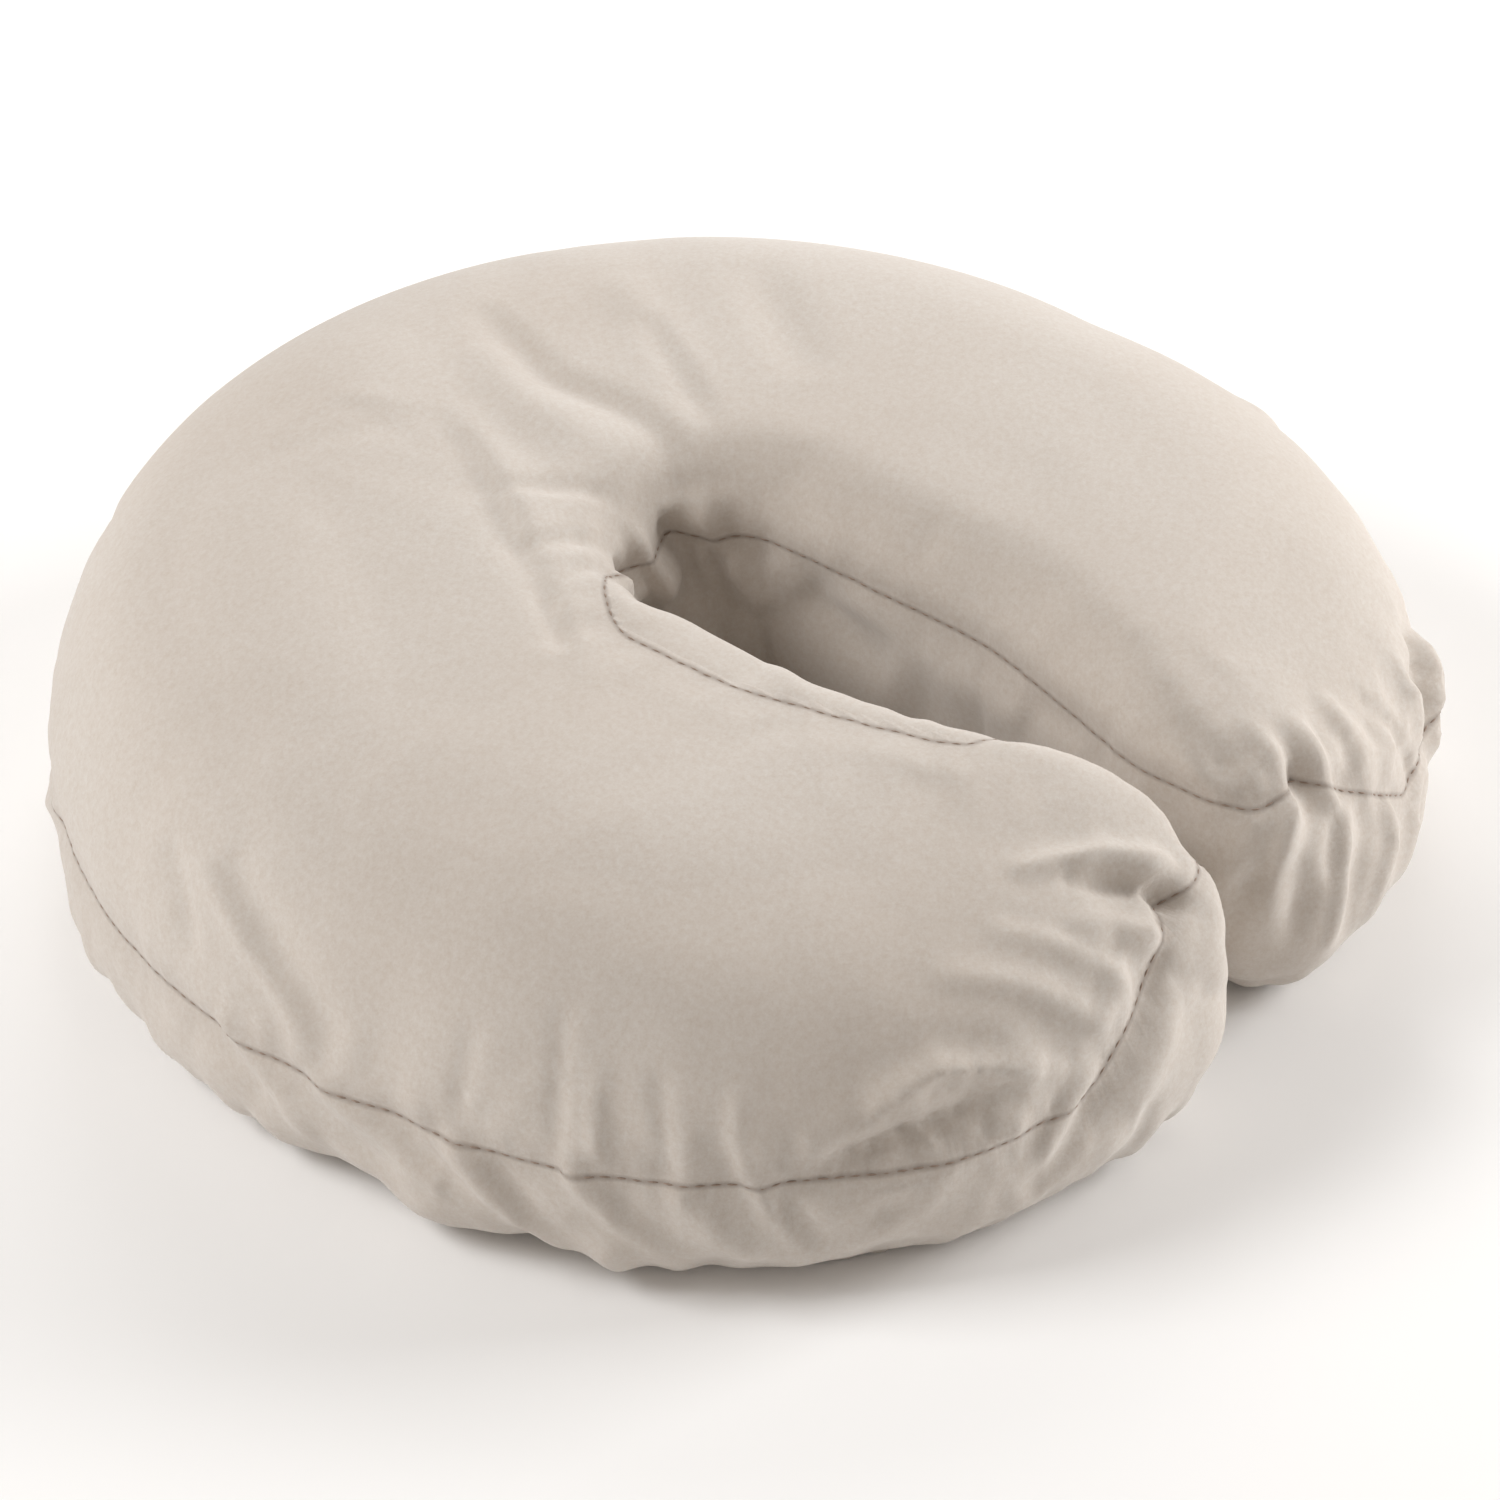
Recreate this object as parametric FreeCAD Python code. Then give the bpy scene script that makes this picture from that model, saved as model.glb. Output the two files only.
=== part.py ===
import FreeCAD, Part
import math
import os

from FreeCAD import Vector

# Face cradle cushion: a crescent of foam in a zipped casing, under a fitted cloth cover.
# Millimetres. +Z is up, +Y points to the closed crown, the two arms end at -Y, and the
# origin is on the resting plane under the middle of the overall box.

# ---- overall size -------------------------------------------------------------------
OVERALL_WIDTH = 320.0
OVERALL_LENGTH = 309.0
OVERALL_HEIGHT = 98.0
TOP_TILT = 3.95              # degrees by which the top falls from the crown to the arm ends

# ---- outline and breathing slot -----------------------------------------------------
TIP_FLAT = 2.0               # straight left between the arm end's rounds
CROWN_WALL = 132.5           # outer crown edge to the closed end of the slot
SLOT_HALF = 25.0             # half the slot's width where the face lies
MOUTH_HALF = 8.0             # half the gap where the arm ends nearly meet
MOUTH_LENGTH = 35.0          # narrow stretch of the slot behind the flare
NECK_LENGTH = 50.0           # stretch over which the slot opens out
FLARE_ROUND = 25.0           # round of an arm end into the slot
FLARE_ANGLE = 20.0           # degrees by which the flare still falls at the arm's front
FLARE_REACH = 17.5           # run of the flare from its corner to the arm's front
NECK_ROUND = 40.0
SHOULDER_ROUND = 60.0
FILL_OF_ROOM = 0.9           # most of the straight beside a round that the round may use

# ---- edge rounds --------------------------------------------------------------------
OUTER_ROUND = 62.0           # top outer edge
SLOT_ROUND = 22.0            # top and bottom edges of the slot
BOTTOM_ROUND = 18.0          # bottom outer edge
ROUND_LIFT = 2.0             # how far the slot's rounds start beyond the faces they soften

# ---- layers -------------------------------------------------------------------------
COVER_CLOTH = 1.2
CASING_SKIN = 1.2
LAYER_GAP = 0.3
SUPPORT_HEIGHT = 52.0        # plane between the support foam and the comfort foam

# ---- cover underside ----------------------------------------------------------------
HEM_THICK = 4.5
HEM_WIDTH = 12.0
HEM_WALL = 1.0
COVER_LIFT = 0.4             # the cover's cloth hangs this far above the hem's lowest face
OUTER_RETURN = 23.0          # outer edge to the hem
SLOT_RETURN = 20.0           # slot edge to the hem
ELASTIC_THICK = 1.2
ELASTIC_GAP = 0.4
HEM_CORNER = 8.0             # smallest corner round of the hem

# ---- seams --------------------------------------------------------------------------
OUTER_SEAM_HEIGHT = 34.0
SLOT_SEAM_DROP = 22.0        # top face to the seam inside the slot
SEAM_RUN = 43.0              # how far the seam surface falls away from the slot
SEAM_LAND = 4.0
BAND_SPLIT = 30.0            # slot wall to the line that parts outer and inner bands
BAND_SPLIT_TIP = 18.0        # the same, at the arm ends
PANEL_INSET = 20.0           # outline to the seam of the casing's bottom panel

# ---- fastening strips on the casing's underside ---------------------------------------
STRIP_WIDTH = 25.0
STRIP_LENGTH = 60.0
STRIP_THICK = 2.0
CROWN_STRIP_LENGTH = 80.0
STRIP_OFFSET = 43.5          # slot wall to an arm strip's near edge
STRIP_RISE = 8.0             # arm strip's upper end above the crown arc's centre
CROWN_STRIP_GAP = 3.0        # hem to the crown strip

# ---- curved zip in the casing's bottom panel --------------------------------------------
ZIP_STRIP_GAP = 5.8          # crown strip's far corners to the zip's opening
ZIP_START = 25.0             # degrees about the crown arc's centre, from +X
ZIP_END = 155.0
TAPE_WIDTH = 11.0
TAPE_THICK = 0.6
COIL_WIDTH = 2.2
COIL_THICK = 2.0
COIL_SPLIT = 1.6             # gap between the two rows of coil
COIL_BELOW_TAPE = 0.7
ZIP_OPENING = 12.0           # width of the gap in the panel
STOP_ARC = 1.0               # degrees
STOP_LAP = 0.2
TAB_ARC = 5.0                # degrees
END_ROOM_ARC = 0.5           # degrees of free space in the foam past the end tabs

# ---- slider and pull --------------------------------------------------------------------
SLIDER_ARC = 6.4             # degrees
SLIDER_WIDTH = 9.2
SLIDER_GAP = 0.4             # free space between the slider and coil or tape
SLIDER_PLATE = 1.2
SLIDER_TOP_PLATE = 1.0
FLANGE_WIDTH = 1.2
POST_WIDTH = 1.0
POST_ARC = 1.6               # degrees
LUG_SPACING = 5.0            # clear width between the lugs
LUG_THICK = 1.0
LUG_LENGTH = 2.4
PIN_RADIUS = 0.5
PIN_CLEARANCE = 0.1
EYE_WALL = 0.45
EYE_GAP = 0.3                # eye to the slider's plate
EYE_SIDE_GAP = 0.3
PULL_LENGTH = 24.0
PULL_WIDTH = 6.5
PULL_NECK = 6.0
PULL_THICK = 1.0
PULL_SLOT_LENGTH = 9.0
PULL_SLOT_WIDTH = 3.0

FAR = 400.0                  # cutting blocks reach this far past the cushion
PAST = 1.0                   # a cut starts this far outside the face it opens
EYE_LAP = 1.0                # the pull's neck runs this far back over its blade

# ---- derived places -----------------------------------------------------------------
half_width = OVERALL_WIDTH / 2
half_length = OVERALL_LENGTH / 2
crown_y = half_length - half_width                      # centre of the crown's arc
slot_end = half_length - CROWN_WALL
tilt = math.tan(math.radians(TOP_TILT))
casing_floor = HEM_THICK + LAYER_GAP
casing_inner_floor = casing_floor + CASING_SKIN
foam_floor = casing_inner_floor + LAYER_GAP
foam_inset = COVER_CLOTH + CASING_SKIN + 2 * LAYER_GAP
crown_strip_low = slot_end + SLOT_RETURN + HEM_WIDTH + CROWN_STRIP_GAP
crown_strip_corner = math.hypot(CROWN_STRIP_LENGTH / 2, crown_strip_low + STRIP_WIDTH - crown_y)
zip_radius = crown_strip_corner + ZIP_STRIP_GAP + ZIP_OPENING / 2


def top_height(y):
    """Height of the tilted top face over a place y."""
    highest = half_length - OUTER_ROUND
    return OVERALL_HEIGHT - tilt * (highest - y)


side_room = OVERALL_LENGTH - half_width - TIP_FLAT
end_room = half_width - MOUTH_HALF - FLARE_ROUND - TIP_FLAT
tip_round = min(side_room, end_room)
outer_round = min(OUTER_ROUND, top_height(-half_length) - BOTTOM_ROUND - COVER_LIFT)
neck_y = -half_length + FLARE_REACH / 2 + MOUTH_LENGTH
shoulder_y = neck_y + NECK_LENGTH
neck_turn = math.atan((SLOT_HALF - MOUTH_HALF) / NECK_LENGTH)
shoulder_room = slot_end - SLOT_HALF - shoulder_y
shoulder_round = min(SHOULDER_ROUND, FILL_OF_ROOM * shoulder_room / math.tan(neck_turn / 2))
flare_y = -half_length + FLARE_REACH * math.sin(math.radians(FLARE_ANGLE)) + TIP_FLAT


# ---- plane geometry -------------------------------------------------------------------
def shift_corners(corners, distances):
    """Move each edge of a clockwise outline inwards and return the new corners.

    corners holds (x, y, round) and distances the inset of the edge that starts there.
    A round shrinks on an outward corner and grows on an inward one.
    """
    count = len(corners)
    lines = []
    for i in range(count):
        x0, y0, _ = corners[i]
        x1, y1, _ = corners[(i + 1) % count]
        size = math.hypot(x1 - x0, y1 - y0)
        ux = (x1 - x0) / size
        uy = (y1 - y0) / size
        lines.append((x0 + uy * distances[i], y0 - ux * distances[i], ux, uy))
    moved = []
    for i in range(count):
        px, py, ux, uy = lines[i - 1]
        qx, qy, vx, vy = lines[i]
        cross = ux * vy - uy * vx
        along = ((qx - px) * vy - (qy - py) * vx) / cross
        shift = min(distances[i - 1], distances[i])
        radius = corners[i][2] - shift if cross < 0 else corners[i][2] + shift
        moved.append((px + ux * along, py + uy * along, radius))
    return moved


def rounded_wire(corners, height=None):
    """Closed wire of straight runs and tangent arcs; height gives z for a place (x, y)."""
    height = height or (lambda x, y: 0.0)
    count = len(corners)
    arcs = []
    for i in range(count):
        x, y, radius = corners[i]
        x0, y0, _ = corners[i - 1]
        x1, y1, _ = corners[(i + 1) % count]
        ax, ay = (x0 - x), (y0 - y)
        bx, by = (x1 - x), (y1 - y)
        la, lb = math.hypot(ax, ay), math.hypot(bx, by)
        ax, ay, bx, by = ax / la, ay / la, bx / lb, by / lb
        half_turn = (math.pi - math.acos(max(-1.0, min(1.0, ax * bx + ay * by)))) / 2
        reach = radius * math.tan(half_turn)
        mx, my = ax + bx, ay + by
        size = math.hypot(mx, my)
        out = radius / math.cos(half_turn) - radius
        start = (x + ax * reach, y + ay * reach)
        middle = (x + mx / size * out, y + my / size * out)
        end = (x + bx * reach, y + by * reach)
        arcs.append([Vector(px, py, height(px, py)) for px, py in (start, middle, end)])
    edges = []
    for i in range(count):
        start, middle, end = arcs[i]
        if start.distanceToPoint(end) > 1e-6:
            edges.append(Part.Arc(start, middle, end).toShape())
        following = arcs[(i + 1) % count][0]
        if end.distanceToPoint(following) > 1e-6:
            edges.append(Part.LineSegment(end, following).toShape())
    return Part.Wire(edges)


def mirrored(right):
    """Clockwise outline from its right half."""
    return right + [(-x, y, radius) for x, y, radius in reversed(right)]


def slot_right():
    """Right side of the slot, from the neck up to the closed end."""
    return [
        (MOUTH_HALF, neck_y, NECK_ROUND),
        (SLOT_HALF, shoulder_y, shoulder_round),
        (SLOT_HALF, slot_end, SLOT_HALF),
    ]


def body_corners(inset):
    """Outer outline with no slot."""
    corners = mirrored([(half_width, half_length, half_width), (half_width, -half_length, tip_round)])
    return shift_corners(corners, [inset] * len(corners))


def slot_corners(inset):
    """The slot with its flare, run on past the arm ends; an inset widens it."""
    fall = math.tan(math.radians(FLARE_ANGLE))
    right = [
        (FAR, -half_length - FAR, 0.0),
        (FAR, flare_y - fall * (FAR - MOUTH_HALF), 0.0),
        (MOUTH_HALF, flare_y, FLARE_ROUND),
    ] + slot_right()
    corners = mirrored(right)
    return shift_corners(corners, [0.0] + [inset] * (len(corners) - 2) + [0.0])


def ring_corners(outer_inset, slot_inset):
    """Crescent outline with straight arms, one inset from the outer edge and one from the slot."""
    right = [
        (half_width, half_length, half_width),
        (half_width, -half_length, tip_round),
        (SLOT_HALF, -half_length, 0.0),
        (SLOT_HALF, slot_end, SLOT_HALF),
    ]
    distances = [outer_inset] * 2 + [slot_inset] * 3 + [outer_inset] * 3
    corners = shift_corners(mirrored(right), distances)
    end_x, end_y, end_round = corners[1]
    end_round = min(end_round, end_x - corners[2][0] - HEM_CORNER - TIP_FLAT)
    for place in (1, -2):
        corners[place] = (corners[place][0], end_y, end_round)
    for place in (2, -3):
        corners[place] = (corners[place][0], end_y, HEM_CORNER)
    return corners


# ---- solids ---------------------------------------------------------------------------
def prism(wire, low, high):
    """Upright solid over a flat wire."""
    face = Part.Face(wire)
    face.translate(Vector(0, 0, low))
    return face.extrude(Vector(0, 0, high - low))


def above_top(inset, lift):
    """Everything higher than the tilted top face, moved in by inset and out by lift."""
    rise = (lift - inset) / math.cos(math.radians(TOP_TILT))
    points = []
    for y in (-FAR, FAR):
        points.append(Vector(-2 * FAR, y, top_height(y) + rise))
    for y in (FAR, -FAR):
        points.append(Vector(-2 * FAR, y, OVERALL_HEIGHT + FAR))
    points.append(points[0])
    return Part.Face(Part.makePolygon(points)).extrude(Vector(4 * FAR, 0, 0))


def top_edges(shape, inset, lift):
    """Edges of a shape that lie in its tilted top face."""
    rise = (lift - inset) / math.cos(math.radians(TOP_TILT))
    found = []
    for edge in shape.Edges:
        middle = edge.valueAt((edge.FirstParameter + edge.LastParameter) / 2)
        ends = [vertex.Point for vertex in edge.Vertexes] + [middle]
        if all(abs(point.z - top_height(point.y) - rise) < 1e-4 for point in ends):
            found.append(edge)
    return found


def flat_edges(shape, z):
    """Edges of a shape that lie at one height."""
    return [edge for edge in shape.Edges if all(abs(v.Point.z - z) < 1e-6 for v in edge.Vertexes)]


def disc_solid(inset, floor):
    """The cushion's outer form, with no slot."""
    solid = prism(rounded_wire(body_corners(inset)), floor, OVERALL_HEIGHT + FAR / 2)
    solid = solid.cut(above_top(inset, 0.0))
    solid = solid.makeFillet(outer_round - inset, top_edges(solid, inset, 0.0))
    return solid.makeFillet(BOTTOM_ROUND - inset, flat_edges(solid, floor))


def slot_edges(edges):
    """Of these edges, the ones along the slot's walls and flare."""
    return [edge for edge in edges if abs(edge.CenterOfMass.x) < FAR - PAST
            and -FAR + PAST < edge.CenterOfMass.y < half_length]


def slot_void(inset, floor):
    """The slot as a solid to take away, with its rounds over the top and bottom faces."""
    wire = rounded_wire(slot_corners(inset))
    walls = prism(wire, floor - ROUND_LIFT - PAST, OVERALL_HEIGHT + FAR / 2)
    upper = walls.fuse(above_top(inset, ROUND_LIFT)).removeSplitter()
    edges = slot_edges(top_edges(upper, inset, ROUND_LIFT))
    upper = upper.makeFillet(SLOT_ROUND - inset, edges)
    under = Part.makeBox(4 * FAR, 4 * FAR, FAR, Vector(-2 * FAR, -2 * FAR, floor - ROUND_LIFT - FAR))
    walls = prism(wire, floor - ROUND_LIFT - PAST, OVERALL_HEIGHT / 2)
    lower = walls.fuse(under).removeSplitter()
    edges = slot_edges(flat_edges(lower, floor - ROUND_LIFT))
    lower = lower.makeFillet(SLOT_ROUND - inset, edges)
    return upper, lower


def crescent_solid(inset, floor):
    """The cushion's form, moved in by inset on every side but the underside."""
    solid = disc_solid(inset, floor)
    for void in slot_void(inset, floor):
        solid = solid.cut(void)
    return solid


def ring_sector(r0, r1, a0, a1, z0, z1):
    """Block bent along the crown's arc: radii, angles in degrees and heights."""
    block = Part.makeCylinder(r1, z1 - z0, Vector(0, crown_y, z0), Vector(0, 0, 1), a1 - a0)
    core = Part.makeCylinder(r0, z1 - z0, Vector(0, crown_y, z0), Vector(0, 0, 1), a1 - a0)
    block = block.cut(core)
    block.rotate(Vector(0, crown_y, 0), Vector(0, 0, 1), a0)
    return block


def stadium(half, end, height=None):
    """Slot-shaped wire about the slot's axis, run on past the arm ends."""
    corners = mirrored([(half, -half_length - FAR / 4, 1.0), (half, end, half - 1.0)])
    return rounded_wire(corners, height)


def below_seam():
    """Everything lower than the seam: low outside, and rising to the slot's seam."""
    base = Part.makeBox(4 * FAR, 4 * FAR, FAR, Vector(-2 * FAR, -2 * FAR, OUTER_SEAM_HEIGHT - FAR))
    foot = stadium(SLOT_HALF + SEAM_RUN, slot_end + SEAM_RUN, lambda x, y: OUTER_SEAM_HEIGHT)
    ridge = stadium(SLOT_HALF + SEAM_LAND, slot_end + SEAM_LAND,
                    lambda x, y: top_height(y) - SLOT_SEAM_DROP)
    return base.fuse(Part.makeLoft([foot, ridge], True, True))


def inner_side():
    """Upright block that holds the slot's walls and not the outer ones."""
    wide = SLOT_HALF + BAND_SPLIT
    right = [
        (MOUTH_HALF + BAND_SPLIT_TIP, -half_length - BAND_SPLIT_TIP, 0.0),
        (wide, neck_y, 0.0),
        (wide, slot_end + BAND_SPLIT, 0.0),
    ]
    points = [Vector(x, y, -FAR) for x, y, _ in mirrored(right)]
    points.append(points[0])
    return Part.Face(Part.makePolygon(points)).extrude(Vector(0, 0, 2 * FAR))


def hem_ring(edge_gap, low, high):
    """The hem's band of floor, moved in by edge_gap on both its edges."""
    near = ring_corners(OUTER_RETURN + edge_gap, SLOT_RETURN + edge_gap)
    far = ring_corners(OUTER_RETURN + HEM_WIDTH - edge_gap, SLOT_RETURN + HEM_WIDTH - edge_gap)
    return prism(rounded_wire(near), low, high).cut(prism(rounded_wire(far), low, high))


# ---- sub-assemblies ---------------------------------------------------------------------
def cover_parts(seam, inner):
    """Fitted cloth cover: top panel, two bands, hem and the elastic in it."""
    shell = crescent_solid(0.0, COVER_LIFT)
    shell = shell.cut(crescent_solid(COVER_CLOTH, COVER_LIFT + COVER_CLOTH))
    opening = rounded_wire(ring_corners(OUTER_RETURN, SLOT_RETURN))
    shell = shell.cut(prism(opening, -PAST, COVER_LIFT + COVER_CLOTH + PAST))
    bands = shell.common(seam)
    hem = hem_ring(0.0, 0.0, HEM_THICK)
    hem = hem.cut(hem_ring(HEM_WALL, HEM_WALL, HEM_THICK - HEM_WALL))
    middle = HEM_THICK / 2
    elastic = hem_ring(HEM_WALL + ELASTIC_GAP, middle - ELASTIC_THICK / 2, middle + ELASTIC_THICK / 2)
    return {
        "cover_top_panel": shell.cut(seam),
        "cover_outer_band": bands.cut(inner),
        "cover_inner_band": bands.common(inner),
        "cover_hem": hem,
        "hem_elastic": elastic,
    }


def casing_parts(seam, inner):
    """Zipped casing: top panel, two bands and the bottom panel with the zip's opening."""
    inset = COVER_CLOTH + LAYER_GAP
    shell = crescent_solid(inset, casing_floor)
    shell = shell.cut(crescent_solid(inset + CASING_SKIN, casing_inner_floor))
    panel = prism(rounded_wire(ring_corners(PANEL_INSET, PANEL_INSET)), casing_floor, casing_inner_floor)
    bands = shell.common(seam).cut(panel)
    opening = ring_sector(zip_radius - ZIP_OPENING / 2, zip_radius + ZIP_OPENING / 2, ZIP_START, ZIP_END,
                          casing_floor - PAST, casing_inner_floor + PAST)
    return {
        "casing_top_panel": shell.cut(seam),
        "casing_outer_band": bands.cut(inner),
        "casing_inner_band": bands.common(inner),
        "casing_bottom_panel": panel.cut(opening),
    }


def foam_parts():
    """Comfort foam on support foam, with room for the zip's tapes and slider."""
    foam = crescent_solid(foam_inset, foam_floor)
    half_tape = COIL_SPLIT / 2 + COIL_WIDTH + TAPE_WIDTH + LAYER_GAP
    tape_top = casing_inner_floor + TAPE_THICK
    ends = TAB_ARC + STOP_ARC + END_ROOM_ARC
    tape_room = ring_sector(zip_radius - half_tape, zip_radius + half_tape, ZIP_START - ends, ZIP_END + ends,
                            foam_floor - PAST, tape_top + LAYER_GAP)
    half_slider = SLIDER_WIDTH / 2 + SLIDER_GAP
    slider_top = tape_top + COIL_THICK - COIL_BELOW_TAPE + SLIDER_GAP + SLIDER_TOP_PLATE
    slider_room = ring_sector(zip_radius - half_slider, zip_radius + half_slider, ZIP_START, ZIP_END,
                              foam_floor - PAST, slider_top + SLIDER_GAP)
    foam = foam.cut(tape_room).cut(slider_room)
    lower = Part.makeBox(4 * FAR, 4 * FAR, FAR, Vector(-2 * FAR, -2 * FAR, SUPPORT_HEIGHT - FAR))
    return {"support_foam": foam.common(lower), "comfort_foam": foam.cut(lower)}


def strip_parts():
    """Flat fastening strips sewn under the casing's bottom panel."""
    low = casing_floor - STRIP_THICK
    strips = {}
    corner = Vector(-CROWN_STRIP_LENGTH / 2, crown_strip_low, low)
    strips["loop_strip_crown"] = Part.makeBox(CROWN_STRIP_LENGTH, STRIP_WIDTH, STRIP_THICK, corner)
    near = SLOT_HALF + STRIP_OFFSET
    arm_low = crown_y + STRIP_RISE - STRIP_LENGTH
    for name, x in (("loop_strip_right", near), ("loop_strip_left", -near - STRIP_WIDTH)):
        strips[name] = Part.makeBox(STRIP_WIDTH, STRIP_LENGTH, STRIP_THICK, Vector(x, arm_low, low))
    return strips


def zip_parts():
    """Tapes, coil rows, stops, end tabs, slider and pull of the curved zip."""
    radius = zip_radius
    tape_low = casing_inner_floor
    tape_top = tape_low + TAPE_THICK
    coil_low = tape_low - COIL_BELOW_TAPE
    coil_top = coil_low + COIL_THICK
    inner_edge = COIL_SPLIT / 2
    outer_edge = inner_edge + COIL_WIDTH
    tape_edge = outer_edge + TAPE_WIDTH
    coil_start = ZIP_START + 2 * STOP_ARC
    coil_end = ZIP_END - 2 * STOP_ARC
    stop_low = coil_low - STOP_LAP
    stop_top = coil_top + STOP_LAP
    pieces = {}
    for side, sign in (("inner", -1), ("outer", 1)):
        near, far = sorted((radius + sign * outer_edge, radius + sign * tape_edge))
        pieces["zip_tape_" + side] = ring_sector(near, far, ZIP_START - STOP_ARC, ZIP_END + STOP_ARC,
                                                 tape_low, tape_top)
        near, far = sorted((radius + sign * inner_edge, radius + sign * outer_edge))
        pieces["zip_coil_" + side] = ring_sector(near, far, coil_start, coil_end, coil_low, coil_top)
    stops = []
    for sign in (-1, 1):
        near, far = sorted((radius + sign * inner_edge, radius + sign * outer_edge))
        stops.append(ring_sector(near, far, coil_start - STOP_ARC, coil_start, stop_low, stop_top))
    pieces["zip_top_stops"] = Part.Compound(stops)
    pieces["zip_bottom_stop"] = ring_sector(radius - outer_edge, radius + outer_edge,
                                            coil_end, coil_end + STOP_ARC, stop_low, stop_top)
    tabs = []
    for start in (ZIP_START - STOP_ARC - TAB_ARC, ZIP_END + STOP_ARC):
        tabs.append(ring_sector(radius - tape_edge, radius + tape_edge, start, start + TAB_ARC,
                                tape_low, tape_top))
    pieces["zip_end_tabs"] = Part.Compound(tabs)
    pieces.update(slider_parts(radius, coil_low, coil_top, tape_low, tape_top, coil_start))
    return pieces


def slider_parts(radius, coil_low, coil_top, tape_low, tape_top, coil_start):
    """Slider at the closed end of the zip, and the pull that swings under it."""
    middle = coil_start + 2 * STOP_ARC + SLIDER_ARC / 2
    start = middle - SLIDER_ARC / 2
    end = middle + SLIDER_ARC / 2
    half = SLIDER_WIDTH / 2
    plate_top = coil_low - SLIDER_GAP
    plate_low = plate_top - SLIDER_PLATE
    upper_low = coil_top + SLIDER_GAP
    slider = ring_sector(radius - half, radius + half, start, end, plate_low, plate_top)
    upper = ring_sector(radius - half, radius + half, start, end, upper_low,
                        upper_low + SLIDER_TOP_PLATE)
    post = ring_sector(radius - POST_WIDTH / 2, radius + POST_WIDTH / 2,
                       middle - POST_ARC / 2, middle + POST_ARC / 2, plate_top, upper_low)
    slider = slider.fuse([upper, post])
    for edge in (radius - half, radius + half - FLANGE_WIDTH):
        low = ring_sector(edge, edge + FLANGE_WIDTH, start, end, plate_top, tape_low - SLIDER_GAP)
        high = ring_sector(edge, edge + FLANGE_WIDTH, start, end, tape_top + SLIDER_GAP, upper_low)
        slider = slider.fuse([low, high])
    eye_outer = PIN_RADIUS + PIN_CLEARANCE + EYE_WALL
    pin_z = plate_low - EYE_GAP - eye_outer
    # Lugs, pin and pull are drawn with the radius along +X, then turned to their place.
    for x in (radius - LUG_SPACING / 2 - LUG_THICK, radius + LUG_SPACING / 2):
        corner = Vector(x, -LUG_LENGTH / 2, pin_z)
        lug = Part.makeBox(LUG_THICK, LUG_LENGTH, plate_low - pin_z, corner)
        foot = Part.makeCylinder(LUG_LENGTH / 2, LUG_THICK, Vector(x, 0, pin_z), Vector(1, 0, 0))
        slider = slider.fuse(placed([lug, foot], middle))
    pin_start = Vector(radius - LUG_SPACING / 2, 0, pin_z)
    pin = Part.makeCylinder(PIN_RADIUS, LUG_SPACING, pin_start, Vector(1, 0, 0))
    slider = slider.fuse(placed([pin], middle)).removeSplitter()
    eye_half = LUG_SPACING / 2 - EYE_SIDE_GAP
    eye_start = Vector(radius - eye_half, 0, pin_z)
    eye = Part.makeCylinder(eye_outer, 2 * eye_half, eye_start, Vector(1, 0, 0))
    neck = Part.makeBox(2 * eye_half, PULL_NECK, PULL_THICK,
                        Vector(radius - eye_half, 0, pin_z - PULL_THICK / 2))
    blade = Part.makeBox(PULL_WIDTH, PULL_LENGTH - PULL_NECK, PULL_THICK,
                         Vector(radius - PULL_WIDTH / 2, PULL_NECK, pin_z - PULL_THICK / 2))
    upright = [edge for edge in blade.Edges if abs(edge.Vertexes[0].Z - edge.Vertexes[1].Z) > 0.1]
    blade = blade.makeFillet(PULL_WIDTH / 4, upright)
    blade = blade.fuse(Part.makeBox(2 * eye_half, PULL_WIDTH / 2, PULL_THICK,
                                    Vector(radius - eye_half, PULL_NECK - EYE_LAP, pin_z - PULL_THICK / 2)))
    window_low = PULL_LENGTH - PULL_SLOT_LENGTH - PULL_SLOT_WIDTH
    window = Part.makeBox(PULL_SLOT_WIDTH, PULL_SLOT_LENGTH, 2 * PULL_THICK,
                          Vector(radius - PULL_SLOT_WIDTH / 2, window_low, pin_z - PULL_THICK))
    pull = eye.fuse([neck, blade]).cut(window)
    bore = Part.makeCylinder(PIN_RADIUS + PIN_CLEARANCE, 2 * eye_half, eye_start, Vector(1, 0, 0))
    pull = placed([pull.cut(bore).removeSplitter()], middle)[0]
    return {"zip_slider": slider, "zip_pull": pull}


def placed(shapes, angle):
    """Turn shapes drawn about the origin to an angle on the crown's arc."""
    for shape in shapes:
        shape.rotate(Vector(0, 0, 0), Vector(0, 0, 1), angle)
        shape.translate(Vector(0, crown_y, 0))
    return shapes


def solids_of(shape):
    """The shape's solids alone, as one shape that a STEP file can hold."""
    solids = shape.Solids
    if len(solids) == 1:
        return solids[0]
    return Part.Compound(solids)


def main():
    """Build every node and write its STEP file."""
    seam = below_seam()
    inner = inner_side()
    nodes = {}
    nodes.update(cover_parts(seam, inner))
    nodes.update(casing_parts(seam, inner))
    nodes.update(foam_parts())
    nodes.update(strip_parts())
    nodes.update(zip_parts())
    os.makedirs("parts", exist_ok=True)
    for name, shape in nodes.items():
        solid = solids_of(shape)
        solid.exportStep("parts/" + name + ".step")
        box = solid.BoundBox
        print(name, len(solid.Solids), round(solid.Volume, 1), solid.isValid(),
              [round(v, 2) for v in (box.XMin, box.XMax, box.YMin, box.YMax, box.ZMin, box.ZMax)])


main()
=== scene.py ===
import logging
import math
import random
from collections.abc import Iterable
from dataclasses import dataclass, field
from enum import Enum

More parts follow.
